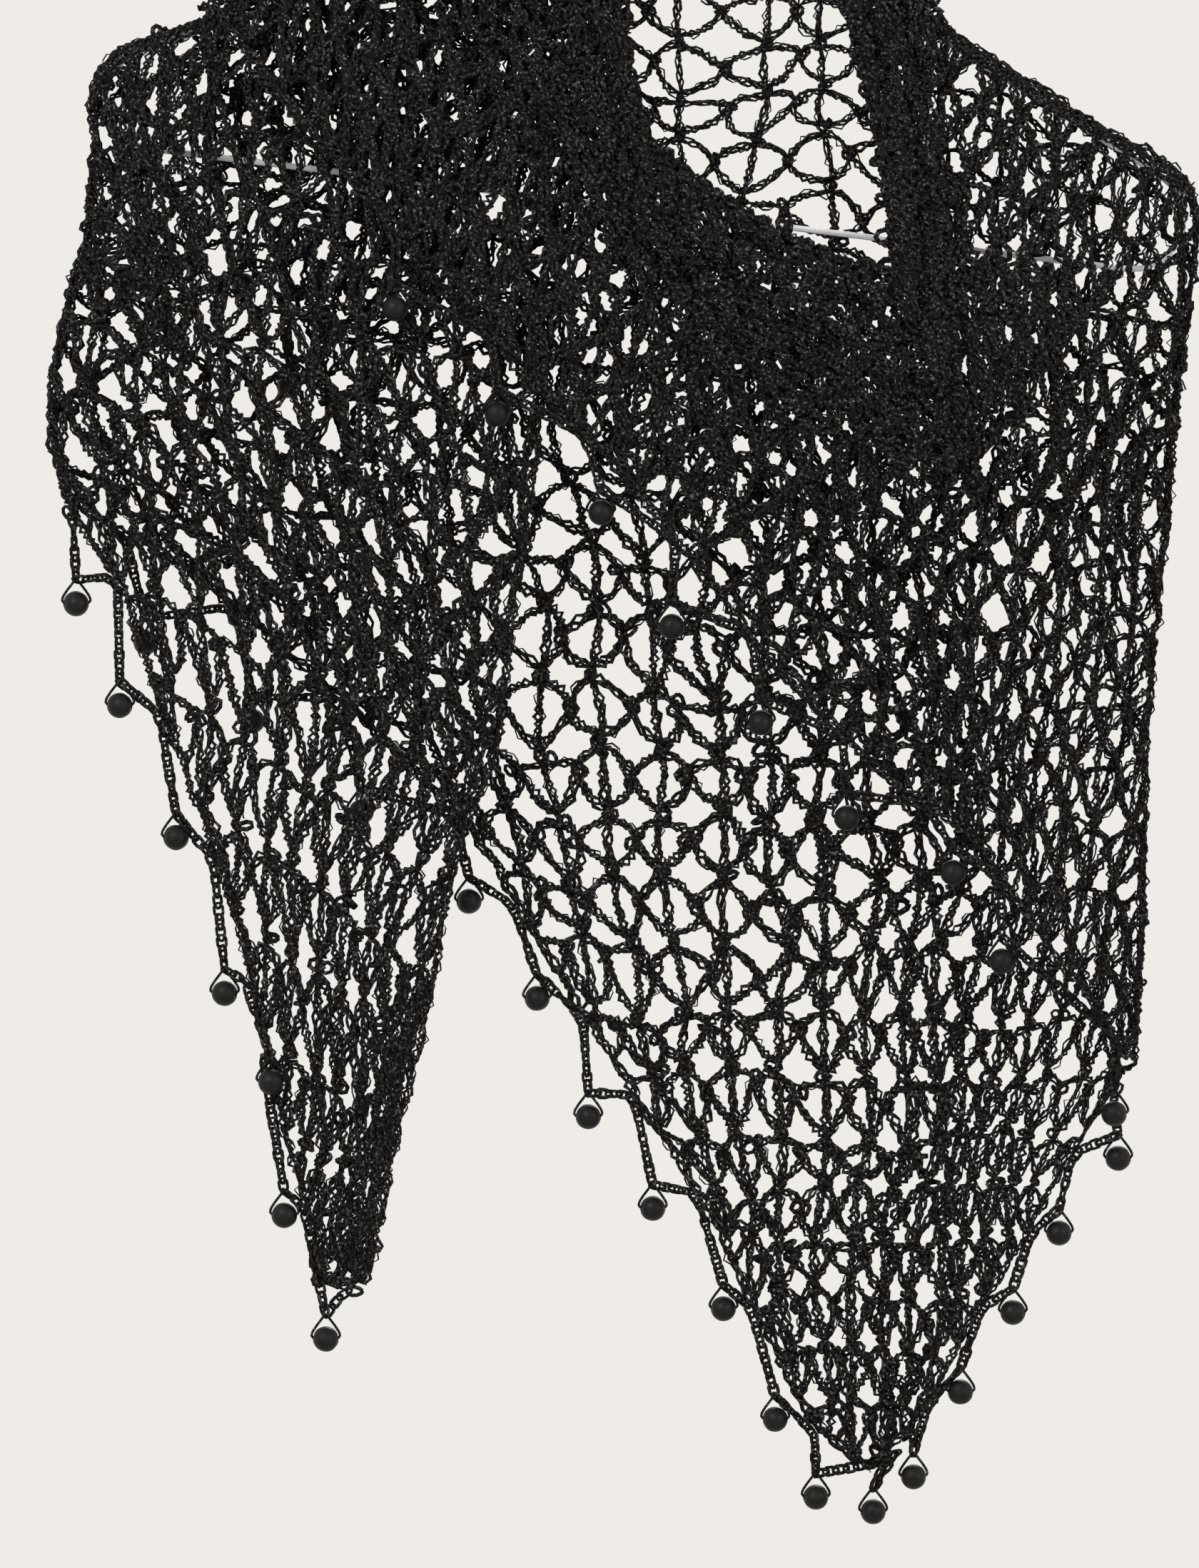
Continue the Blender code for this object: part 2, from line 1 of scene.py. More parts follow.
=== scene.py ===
"""Black crochet lace shawl with a beaded edging, draped over a white coated wire hanger.

The lace is made of yarn: each post and each arc of its fans is a strand of three twisted plies, with small
knotted loops where strands meet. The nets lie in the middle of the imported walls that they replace. The
surface tables and formulas are those of the model's source, in metres, because this script can't read
that file.
"""
import math

import bpy
import numpy as np
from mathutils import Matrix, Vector


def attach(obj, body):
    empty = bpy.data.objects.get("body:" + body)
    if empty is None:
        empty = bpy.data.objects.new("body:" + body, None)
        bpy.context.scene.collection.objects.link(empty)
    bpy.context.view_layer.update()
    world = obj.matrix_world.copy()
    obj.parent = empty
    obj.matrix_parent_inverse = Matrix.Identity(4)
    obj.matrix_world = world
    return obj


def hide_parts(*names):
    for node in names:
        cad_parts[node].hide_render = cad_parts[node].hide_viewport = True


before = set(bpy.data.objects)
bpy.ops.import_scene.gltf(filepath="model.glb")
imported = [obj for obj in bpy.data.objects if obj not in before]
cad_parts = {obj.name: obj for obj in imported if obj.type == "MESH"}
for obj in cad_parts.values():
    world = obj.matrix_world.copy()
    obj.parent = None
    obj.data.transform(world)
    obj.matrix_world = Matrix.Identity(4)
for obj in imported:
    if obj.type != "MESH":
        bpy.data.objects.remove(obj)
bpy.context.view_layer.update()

# Hanger, as in the source
WIRE = 0.0024
HANGER_RISE = 0.132
SHOULDER_SLOPE = math.radians(25)
HANGER_TILT = math.radians(7)
HOOK_RISE = 0.095

# Cloth, as in the source
CLOTH = 0.0024
SEAM_SETBACK = 0.0004
LAYER = CLOTH + 0.0020
FLAP_LIFT = 0.0050
CREST = WIRE / 2 + 0.0013 + CLOTH / 2
SIDE_ROUND = 0.018
HANG_LENGTH = 0.090
BACK_DEPTH = 0.011
FRONT_DEPTH = 0.009
COWL_DEPTH = 0.022
BEAD = 0.0100

LEFT_CREST_END = ((-0.242, -0.182), (-0.239, -0.170), (-0.229, -0.161), (-0.209, -0.155))
RIGHT_CREST_END = ((0.163, -0.198), (0.182, -0.209), (0.189, -0.216), (0.192, -0.229))
LEFT_SIDE = (
    (-0.242, -0.182), (-0.240, -0.206), (-0.243, -0.236), (-0.251, -0.262),
    (-0.257, -0.290), (-0.258, -0.312), (-0.252, -0.338),
)
RIGHT_SIDE = (
    (0.192, -0.229), (0.188, -0.264), (0.184, -0.295), (0.180, -0.339),
    (0.174, -0.395), (0.171, -0.451), (0.170, -0.507), (0.167, -0.560),
)
NECK_LEFT_X = -0.033
NECK_RIGHT_X = 0.048
BACK_LEFT_HEM = (
    (-0.252, -0.338), (-0.205, -0.366), (-0.150, -0.412), (-0.094, -0.468), (-0.057, -0.528),
    (-0.027, -0.576), (0.001, -0.619), (0.021, -0.662), (0.043, -0.706), (0.066, -0.721),
)
BACK_RIGHT_HEM = (
    (0.066, -0.721), (0.084, -0.699), (0.104, -0.662), (0.127, -0.627), (0.142, -0.599), (0.167, -0.560),
)
LEFT_WING_HEM = (
    (-0.252, -0.338), (-0.229, -0.373), (-0.210, -0.431), (-0.191, -0.482), (-0.179, -0.521),
    (-0.169, -0.570), (-0.154, -0.622), (-0.152, -0.646),
)
LEFT_WING_NECK_EDGE = (
    (NECK_LEFT_X, -0.0985), (-0.040, -0.143), (-0.050, -0.199), (-0.061, -0.269), (-0.069, -0.334),
    (-0.078, -0.390), (-0.083, -0.436), (-0.094, -0.467), (-0.102, -0.491), (-0.108, -0.528),
    (-0.119, -0.575), (-0.134, -0.646),
)
RIGHT_WING_HEM = (
    (0.167, -0.560), (0.148, -0.535), (0.125, -0.505), (0.104, -0.472), (0.066, -0.446),
    (0.032, -0.412), (0.000, -0.372), (-0.032, -0.332), (-0.070, -0.292), (-0.110, -0.251),
    (-0.146, -0.207), (-0.178, -0.172),
)
NECK_RIDGE = (
    (0.054, -0.149), (0.064, -0.190), (0.070, -0.236), (0.071, -0.251), (0.058, -0.251),
    (0.030, -0.238), (0.000, -0.221), (-0.025, -0.200), (-0.031, -0.172), (-0.033, -0.149),
)
TAIL_HEM = ((-0.200, -0.150), (-0.190, -0.188), (-0.176, -0.228), (-0.160, -0.266), (-0.146, -0.300))
TAIL_NECK_EDGE = ((-0.060, -0.104), (-0.074, -0.160), (-0.094, -0.215), (-0.116, -0.262), (-0.134, -0.300))
FLAP_WIDTHS = (
    (0.00, 0.33), (0.12, 0.34), (0.25, 0.33), (0.38, 0.29), (0.50, 0.36), (0.62, 0.42), (0.75, 0.48),
    (1.00, 0.52),
)

# Soft folds: x_top, z_top, x_end, z_end, half_width, height
BACK_FOLDS = (
    (0.108, -0.300, 0.112, -0.590, 0.016, 0.008),
    (0.030, -0.260, 0.048, -0.700, 0.020, 0.006),
    (-0.045, -0.240, -0.010, -0.590, 0.018, 0.007),
    (-0.120, -0.200, -0.105, -0.430, 0.020, 0.006),
    (-0.200, -0.230, -0.190, -0.360, 0.016, 0.005),
    (0.072, -0.450, 0.070, -0.715, 0.012, 0.006),
)
LEFT_WING_FOLDS = (
    (-0.222, -0.200, -0.226, -0.330, 0.014, 0.007),
    (-0.180, -0.210, -0.160, -0.600, 0.016, 0.006),
    (-0.130, -0.200, -0.134, -0.560, 0.015, 0.007),
    (-0.090, -0.260, -0.104, -0.460, 0.013, 0.005),
)
RIGHT_WING_FOLDS = (
    (0.176, -0.240, 0.070, -0.325, 0.024, 0.011),
    (0.130, -0.320, 0.010, -0.320, 0.022, 0.007),
    (0.150, -0.330, 0.143, -0.520, 0.022, 0.008),
    (0.100, -0.350, 0.108, -0.450, 0.020, 0.006),
    (-0.010, -0.235, -0.130, -0.180, 0.022, 0.007),
    (0.020, -0.290, -0.090, -0.235, 0.020, 0.006),
)
TAIL_FOLDS = (
    (-0.140, -0.150, -0.166, -0.290, 0.014, 0.006),
    (-0.100, -0.140, -0.150, -0.270, 0.012, 0.005),
)

# Edging, as in the source
CHAIN = 0.0022
GAP = 0.0003
FOOT_HALF_LENGTH = 0.0030

# Bead tables, as in the source: x, z, drop
LEFT_WING_BEADS = (
    (-0.2472, -0.3805, 0.031), (-0.2299, -0.4203, 0.044), (-0.2080, -0.4718, 0.042),
    (-0.1890, -0.5326, 0.047), (-0.1702, -0.5664, 0.031), (-0.1655, -0.6188, 0.054),
    (-0.1495, -0.6672, 0.045),
)
BACK_LEFT_BEADS = (
    (-0.2220, -0.3950, 0.040), (-0.1800, -0.4260, 0.040), (-0.1370, -0.4620, 0.040),
    (-0.0944, -0.4973, 0.030), (-0.0675, -0.5356, 0.032), (-0.0473, -0.5824, 0.036),
    (-0.0218, -0.6188, 0.039), (0.0062, -0.6583, 0.040), (0.0266, -0.7020, 0.039),
    (0.0428, -0.7333, 0.023), (0.0655, -0.7392, 0.019),
)
BACK_RIGHT_BEADS = (
    (0.1618, -0.5987, 0.022), (0.1386, -0.6283, 0.026), (0.1204, -0.6597, 0.027),
    (0.0997, -0.6911, 0.028), (0.0812, -0.7247, 0.024),
)
RIGHT_WING_BEADS = (
    (-0.1221, -0.2668, 0.026), (-0.0826, -0.3074, 0.026), (-0.0423, -0.3455, 0.026),
    (-0.0148, -0.3898, 0.030), (0.0199, -0.4270, 0.030), (0.0535, -0.4642, 0.028),
    (0.0949, -0.4855, 0.022), (0.1140, -0.5200, 0.028), (0.1579, -0.5796, 0.026),
)
TAIL_BEADS = (
    (-0.1960, -0.2120, 0.040), (-0.1840, -0.2530, 0.040), (-0.1660, -0.2930, 0.040),
    (-0.1430, -0.3290, 0.034),
)

# Yarn of the net: PLY and THREAD are radii, and a strand's plies wind in a flat turn
PLIES = 3
PLY = 0.00082
STRAND_WIDE = 0.00136
STRAND_DEEP = 0.00085
PLY_PITCH = 0.0112
STRAND_TAPER = 0.0020
STRAND_STEP = 0.0028
FLAP_STEP = 0.0030
BORDER_STEP = 0.0060
BORDER_WANDER = 0.0007
THREAD = 0.00040
KNOT_LOOPS = 2
KNOT_SIZE = 0.0025
KNOT_YARN = 0.00110
FOLD_GAP = 0.0012

# A cell of the net, in shares of its width and height, and how many points its curves have
JITTER = 0.085
WAIST = 0.46
VALLEY = 0.23
NECK = 0.20
TURN_IN = 0.12
HEAD_LEAN = 0.22
HEAD_RISE = 0.01
VALLEY_LEAN = 0.08
VALLEY_RISE = 0.14
FIRST_THIRD = 0.33
SECOND_THIRD = 0.67
CURVE_POINTS = 27
SHORTEST_RUN = 4

# Edging: the chain's links, and the thin loop over a bead, half of it as seen from the front
LINK_PITCH = 0.0040
LINK_LENGTH = 0.0066
LINK_WIDTH = 0.0033
LINK_YARN = 0.00076
BEAD_YARN = 0.00052
BEAD_YARN_STEP = 0.0011
CHAIN_END = 0.0030
BEAD_LOOP = (
    (0.0, 0.0100), (0.0016, 0.0078), (0.0036, 0.0052), (0.0053, 0.0026), (0.0056, 0.0008), (0.0040, 0.0),
)
BEAD_BORE = 0.0012
BEAD_SIDES = 20
BEAD_RINGS = 12

# Camera: the picture is 0.28 mm of the hanger's plane to each of its pixels
METRES_PER_PIXEL = 0.00028
PICTURE = (1680, 2197)
PICTURE_ORIGIN = (993, -512)
CAMERA_DISTANCE = 2.20
SENSOR_MM = 36
FLOOR_HEIGHT = -1.12
FLOOR_RADIUS = 1.15


# Curves and surfaces

def smooth(share):
    share = np.clip(share, 0.0, 1.0)
    return share * share * (3 - 2 * share)


def rounded(share):
    return np.sqrt(1 - (1 - np.clip(share, 0.0, 1.0)) ** 2)


def hanger_point(across, up):
    drop = up - HANGER_RISE - HOOK_RISE
    cos_tilt, sin_tilt = math.cos(HANGER_TILT), math.sin(HANGER_TILT)
    return (across * cos_tilt + drop * sin_tilt, drop * cos_tilt - across * sin_tilt)


def along(line, share):
    """The places at these shares of a line's length, as two columns."""
    line = np.asarray(line, float)
    length = np.concatenate([[0.0], np.cumsum(np.hypot(*np.diff(line[:, :2], axis=0).T))])
    share = np.clip(share, 0.0, 1.0) * length[-1]
    return np.stack([np.interp(share, length, values) for values in line.T], axis=-1)


def column(rows, key):
    rows = np.asarray(sorted(rows), float)
    return np.interp(key, rows[:, 0], rows[:, 1])


def by_height(line, z):
    return column([(b, a) for a, b in line], z)


def shoulder_crest(side):
    rows = []
    for across in (0.004, 0.060, 0.120, 0.165):
        up = HANGER_RISE - across * math.tan(SHOULDER_SLOPE) + CREST / math.cos(SHOULDER_SLOPE)
        rows.append(hanger_point(side * across, up))
    return rows


CREST_LINE = (*LEFT_CREST_END, *reversed(shoulder_crest(-1)), *shoulder_crest(1), *RIGHT_CREST_END)
SHOULDER_COS = math.cos(SHOULDER_SLOPE)
RAISED = LAYER / SHOULDER_COS


def crest_height(x):
    return column(CREST_LINE, x)


def below_crest(x, z):
    return (crest_height(x) - z) * SHOULDER_COS


def from_side(x, z):
    return np.minimum(x - by_height(LEFT_SIDE, z), by_height(RIGHT_SIDE, z) - x)


def folds(table, x, z):
    total = np.zeros_like(x)
    for x0, z0, x1, z1, half_width, height in table:
        run_x, run_z = x1 - x0, z1 - z0
        share = ((x - x0) * run_x + (z - z0) * run_z) / (run_x * run_x + run_z * run_z)
        share = np.clip(share, 0.0, 1.0)
        off = np.hypot(x - x0 - share * run_x, z - z0 - share * run_z) / half_width
        total = np.maximum(total, height * np.exp(-off * off))
    return total


def depth(x, z, deep, lift=0.0):
    turn = CREST + lift
    crest = below_crest(x, z) + lift
    side = from_side(x, z)
    wrap = turn * rounded(np.minimum(crest, side + lift) / turn)
    return wrap + deep * smooth(crest / HANG_LENGTH) * rounded(side / SIDE_ROUND)


def hung_share(x, z):
    return smooth(below_crest(x, z) / 0.030) * smooth(from_side(x, z) / 0.020)


def back_depth(x, z):
    behind_stem = 0.0030 * smooth((0.040 - np.abs(x)) / 0.030) * smooth((z + 0.150) / 0.030)
    return depth(x, z, BACK_DEPTH) + behind_stem + folds(BACK_FOLDS, x, z) * hung_share(x, z)


def left_wing_depth(x, z):
    return depth(x, z, FRONT_DEPTH) + folds(LEFT_WING_FOLDS, x, z) * hung_share(x, z)


def cowl(x, z):
    reach = np.exp(-(((x - 0.045) / 0.085) ** 2) - ((z + 0.275) / 0.085) ** 2)
    return COWL_DEPTH * reach * smooth(below_crest(x, z) / 0.110) * smooth(from_side(x, z) / 0.060)


def right_wing_depth(x, z):
    over = smooth((0.015 - x) / 0.035)
    under = folds(LEFT_WING_FOLDS, x, z) * hung_share(x, z) * over
    own = folds(RIGHT_WING_FOLDS, x, z) * hung_share(x, z)
    return depth(x, z, FRONT_DEPTH, LAYER * over) + under + own + cowl(x, z)


def tail_depth(x, z):
    own = folds(TAIL_FOLDS, x, z) * smooth(below_crest(x, z) / 0.030)
    return depth(x, z, BACK_DEPTH, LAYER) + folds(BACK_FOLDS, x, z) * hung_share(x, z) + own


def surface(x, z, depth_at, side):
    return np.stack([x, side * (SEAM_SETBACK + depth_at(x, z)), z], axis=-1)


def patch(top, bottom, left, right):
    """A place between four edge lines, by share across and share down."""
    corners = [np.array(corner) for corner in (top[0], top[-1], bottom[0], bottom[-1])]

    def place(u, v):
        u, v = np.asarray(u, float)[..., None], np.asarray(v, float)[..., None]
        at_top, at_bottom = along(top, u[..., 0]), along(bottom, u[..., 0])
        at_left, at_right = along(left, v[..., 0]), along(right, v[..., 0])
        corner = (1 - u) * (1 - v) * corners[0] + u * (1 - v) * corners[1]
        corner = corner + (1 - u) * v * corners[2] + u * v * corners[3]
        return (1 - v) * at_top + v * at_bottom + (1 - u) * at_left + u * at_right - corner

    return place


def inside(outline, x, z):
    """Which places lie inside a closed outline."""
    outline = np.asarray(outline, float)
    x0, z0 = outline.T
    x1, z1 = np.roll(x0, -1), np.roll(z0, -1)
    x, z = x[..., None], z[..., None]
    crosses = (z0 > z) != (z1 > z)
    at = x0 + (z - z0) / np.where(z1 == z0, 1e-9, z1 - z0) * (x1 - x0)
    return (np.sum(crosses & (x < at), axis=-1) % 2) == 1


# Yarn

def resampled(points, step):
    """The same path with even spacing of about this step."""
    length = np.concatenate([[0.0], np.cumsum(np.linalg.norm(np.diff(points, axis=0), axis=1))])
    count = max(2, int(round(length[-1] / step)))
    at = np.linspace(0.0, length[-1], count + 1)
    return np.stack([np.interp(at, length, values) for values in points.T], axis=-1)


def frames_along(strands, normal=(0.0, 1.0, 0.0)):
    """For all points of all strands: place, cross directions, length so far, strand number."""
    counts = np.array([len(strand) for strand in strands])
    points = np.concatenate(strands)
    number = np.repeat(np.arange(len(strands)), counts)
    first = np.concatenate([[0], np.cumsum(counts)[:-1]])
    last = first + counts - 1
    ahead, behind = np.arange(len(points)) + 1, np.arange(len(points)) - 1
    ahead[last], behind[first] = last, first
    tangent = points[ahead] - points[behind]
    tangent /= np.linalg.norm(tangent, axis=1, keepdims=True) + 1e-12
    up = np.broadcast_to(np.array(normal) + np.array([0.0, 0.0, 0.05]), points.shape)
    up = up - np.sum(up * tangent, axis=1, keepdims=True) * tangent
    up /= np.linalg.norm(up, axis=1, keepdims=True) + 1e-12
    across = np.cross(tangent, up)
    hop = np.linalg.norm(points - points[behind], axis=1)
    total = np.cumsum(hop)
    return points, up, across, total - total[first][number], number, first, last


def tubes(centres, up, across, radius, first, last, sides):
    """Closed tubes round runs of centres, as points and triangles."""
    angle = 2 * math.pi * np.arange(sides) / sides
    ring = np.cos(angle)[None, :, None] * up[:, None] + np.sin(angle)[None, :, None] * across[:, None]
    points = (centres[:, None] + ring * radius[:, None, None]).reshape(-1, 3)
    start = np.ones(len(centres), bool)
    start[last] = False
    low = np.nonzero(start)[0]
    j = np.arange(sides)
    a = low[:, None] * sides + j
    b = low[:, None] * sides + (j + 1) % sides
    c, d = b + sides, a + sides
    walls = np.concatenate([np.stack([a, b, c], -1).reshape(-1, 3), np.stack([a, c, d], -1).reshape(-1, 3)])
    fan = np.arange(1, sides - 1)
    begin = np.stack([np.zeros_like(fan), fan + 1, fan], -1)
    end = np.stack([np.zeros_like(fan), fan, fan + 1], -1)
    first_caps = (first[:, None, None] * sides + begin).reshape(-1, 3)
    last_caps = (last[:, None, None] * sides + end).reshape(-1, 3)
    return points, np.concatenate([walls, first_caps, last_caps])


def joined(meshes):
    """Several lists of points and triangles as one."""
    points, faces, offset = [], [], 0
    for own_points, own_faces in meshes:
        points.append(own_points)
        faces.append(own_faces + offset)
        offset += len(own_points)
    return np.concatenate(points), np.concatenate(faces)


def twisted(strands, chance, full):
    """Strands of three plies that wind round each other, now tight and now open enough to leave an eyelet.

    full gives how full the yarn is at a place: less where the lace is stretched.
    """
    points, up, across, length, number, first, last = frames_along(strands)
    phase = chance.uniform(0, 2 * math.pi, len(strands))[number]
    wave = chance.uniform(0.65, 1.40, len(strands))[number]
    thick = chance.uniform(0.85, 1.15, len(strands))[number] * full(points[:, 0], points[:, 2])
    opening = 1 + 0.30 * np.sin(length * 330 + 3 * phase) + 0.30 * np.sin(length * 760 + 7 * phase)
    wide = STRAND_WIDE * thick * opening
    deep = STRAND_DEEP * thick
    closing = np.clip(np.minimum(length, length[last][number] - length) / STRAND_TAPER, 0.35, 1.0)
    wander = phase + 0.8 * np.sin(length * 240 + 5 * phase)
    meshes = []
    for i in range(PLIES):
        turn = 2 * math.pi * (length / (PLY_PITCH * wave) + i / PLIES) + wander
        sideways = across * (wide * closing * np.cos(turn))[:, None]
        shift = sideways + up * (deep * closing * np.sin(turn))[:, None]
        radius = PLY * thick * (1 + 0.20 * np.sin(turn * 1.7 + i) + chance.uniform(-0.18, 0.18, len(points)))
        meshes.append(tubes(points + shift, up, across, radius, first, last, 3))
    return joined(meshes)


def loose_threads(strands, chance, share):
    """A thin thread that winds loosely round some of the strands, as brushed yarn does."""
    long_enough = [strand for strand in strands if len(strand) > 5]
    chosen = [resampled(strand, STRAND_STEP) for strand in long_enough if chance.uniform() < share]
    points, up, across, length, number, first, last = frames_along(chosen)
    phase = chance.uniform(0, 2 * math.pi, len(chosen))[number]
    quick = chance.uniform(300, 620, len(chosen))[number]
    reach = 0.0022 * np.sin(length * quick + phase) + 0.0004 * chance.normal(size=len(points))
    shift = across * reach[:, None] + up * (0.0012 * np.cos(length * quick + 2 * phase))[:, None]
    radius = np.full(len(points), THREAD) * chance.uniform(0.7, 1.3, len(points))
    return tubes(points + shift, up, across, radius, first, last, 3)


def loops(centres, forward, sideways, half_length, half_width, radius, count):
    """Closed loops of yarn: each runs round its centre in the plane of its two directions."""
    around = 2 * math.pi * np.arange(count + 1) / count
    swell = (1 - 0.25 * np.cos(around))[None, :, None]
    strands = (
        centres[:, None]
        + np.cos(around)[None, :, None] * (forward * half_length[:, None])[:, None]
        + np.sin(around)[None, :, None] * swell * (sideways * half_width[:, None])[:, None]
    )
    points, up, across, _, number, first, last = frames_along(list(strands))
    return tubes(points, up, across, radius[number], first, last, 3)


def random_directions(chance, count, flatten):
    """Pairs of directions square to each other, turned at random."""
    forward, sideways = chance.normal(size=(2, count, 3)) * (1.0, flatten, 1.0)
    forward /= np.linalg.norm(forward, axis=1, keepdims=True)
    sideways -= forward * np.sum(forward * sideways, axis=1, keepdims=True)
    return forward, sideways / np.linalg.norm(sideways, axis=1, keepdims=True)


def knots(places, chance, full):
    """At each place a few small loops of yarn in different planes."""
    centres = np.repeat(places, KNOT_LOOPS, axis=0)
    thick = full(centres[:, 0], centres[:, 2])
    centres = centres + chance.normal(size=centres.shape) * (0.0013, 0.0005, 0.0013) * thick[:, None]
    forward, sideways = random_directions(chance, len(centres), 0.3)
    half_length = KNOT_SIZE * thick * chance.uniform(0.8, 1.30, len(centres))
    half_width = KNOT_SIZE * thick * chance.uniform(0.60, 0.95, len(centres))
    radius = KNOT_YARN * thick * chance.uniform(0.75, 1.1, len(centres))
    return loops(centres, forward, sideways, half_length, half_width, radius, 7)


def chain(path, chance):
    """A crocheted chain along a path: links that pass through each other, turned a little each way."""
    points, up, across, *_ = frames_along([resampled(path, LINK_PITCH)])
    ahead = np.roll(points, -1, axis=0)
    centres = (points + ahead)[:-1] / 2
    forward = (ahead - points)[:-1]
    forward /= np.linalg.norm(forward, axis=1, keepdims=True) + 1e-12
    tilt = np.where(np.arange(len(centres)) % 2, 0.6, -0.6) + chance.normal(size=len(centres)) * 0.25
    sideways = across[:-1] * np.cos(tilt)[:, None] + up[:-1] * np.sin(tilt)[:, None]
    half_length = LINK_LENGTH / 2 * chance.uniform(0.92, 1.08, len(centres))
    half_width = LINK_WIDTH / 2 * chance.uniform(0.80, 1.15, len(centres))
    radius = LINK_YARN * chance.uniform(0.85, 1.2, len(centres))
    return loops(centres, forward, sideways, half_length, half_width, radius, 9)


def mesh_piece(name, mesh, material):
    points, faces = mesh
    data = bpy.data.meshes.new(name)
    data.vertices.add(len(points))
    data.vertices.foreach_set("co", points.astype(np.float32).ravel())
    data.loops.add(len(faces) * 3)
    data.loops.foreach_set("vertex_index", faces.astype(np.int32).ravel())
    data.polygons.add(len(faces))
    data.polygons.foreach_set("loop_start", np.arange(0, len(faces) * 3, 3, dtype=np.int32))
    data.update(calc_edges=True)
    data.validate()
    data.shade_smooth()
    piece = bpy.data.objects.new(name, data)
    bpy.context.scene.collection.objects.link(piece)
    data.materials.append(material)
    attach(piece, "root")
    return piece


# Lace

def lattice_strands(i_range, k_range, chance, closeness):
    """Fans of three posts, each under a flat dome, in cells: a across and b down, both from 0.

    A dome's arc runs from its head to the valleys half a cell to each side. The outer posts start in those
    valleys, run down beside their neighbours as far as the waist, and turn in to the neck. The neck stands
    on the head of the dome below, so a diamond stays open between two necks. closeness gives, by row, how
    far the outer posts keep from their neighbours' at the waist.
    """
    i = np.arange(i_range[0], i_range[1] + 1)
    k = np.arange(k_range[0], k_range[1] + 1)
    head = np.stack(np.meshgrid(i.astype(float), k.astype(float), indexing="ij"), -1)
    valley = head + (0.5, VALLEY)
    waist = head + (0.5, WAIST)
    gap = np.broadcast_to(column(closeness, k), head.shape[:-1])
    apart = np.stack([gap, np.zeros(gap.shape)], -1)
    head = head + chance.normal(size=head.shape) * JITTER
    valley = valley + chance.normal(size=valley.shape) * JITTER
    curves = []

    def add(first, second, third, fourth, loose):
        controls = [points.reshape(-1, 2) for points in (first, second, third, fourth)]
        for inner in (1, 2):
            controls[inner] = controls[inner] + chance.normal(size=controls[inner].shape) * JITTER * loose
        curves.append(np.stack(controls, 1))

    top, foot = head[:, :-1], head[:, 1:]
    neck = foot - (0.0, NECK)
    upper = top * SECOND_THIRD + foot * FIRST_THIRD
    lower = top * FIRST_THIRD + foot * SECOND_THIRD
    add(top, upper, lower, foot, 0.9)
    for cells, own_neck, toward in ((np.s_[:, :-1], neck, -1), (np.s_[:-1, :-1], neck[1:], 1)):
        turn_in = waist[cells] * SECOND_THIRD + own_neck * FIRST_THIRD + (0.0, TURN_IN)
        add(valley[cells], waist[cells] + apart[cells] * toward, turn_in, own_neck, 0.7)
    post_count = sum(len(curve) for curve in curves)
    add(head, head + (HEAD_LEAN, -HEAD_RISE), valley - (VALLEY_LEAN, VALLEY_RISE), valley, 0.5)
    start, next_head = valley[:-1], head[1:]
    add(start, start + (VALLEY_LEAN, -VALLEY_RISE), next_head - (HEAD_LEAN, HEAD_RISE), next_head, 0.5)
    t = np.linspace(0, 1, CURVE_POINTS)[None, :, None]
    first, second, third, fourth = np.moveaxis(np.concatenate(curves)[:, :, None, :], 1, 0)
    line = (
        first * (1 - t) ** 3 + 3 * second * t * (1 - t) ** 2
        + 3 * third * t * t * (1 - t) + fourth * t ** 3
    )
    is_arc = np.arange(len(line)) >= post_count
    knots_at = head - (0.0, NECK / 2)
    return line, is_arc, np.concatenate([knots_at.reshape(-1, 2), valley.reshape(-1, 2)])


def longest_run(flags):
    """Where the longest run of true flags begins and ends."""
    edges = np.flatnonzero(np.diff(np.concatenate([[0], flags.astype(int), [0]])))
    if not len(edges):
        return 0, 0
    begin, end = edges[::2], edges[1::2]
    best = np.argmax(end - begin)
    return begin[best], end[best]


def warp(flat, size):
    """The slow unevenness of a net that hangs."""
    x, z = flat[..., 0], flat[..., 1]
    along_x = np.sin(61 * x + 37 * z) + np.sin(23 * x - 71 * z + 2)
    along_z = np.sin(53 * z - 43 * x + 1) + np.sin(83 * x + 29 * z + 4)
    return flat + size * np.stack([along_x, along_z], axis=-1)


def even(x, z):
    """Yarn of the same fullness everywhere."""
    return np.ones_like(x)


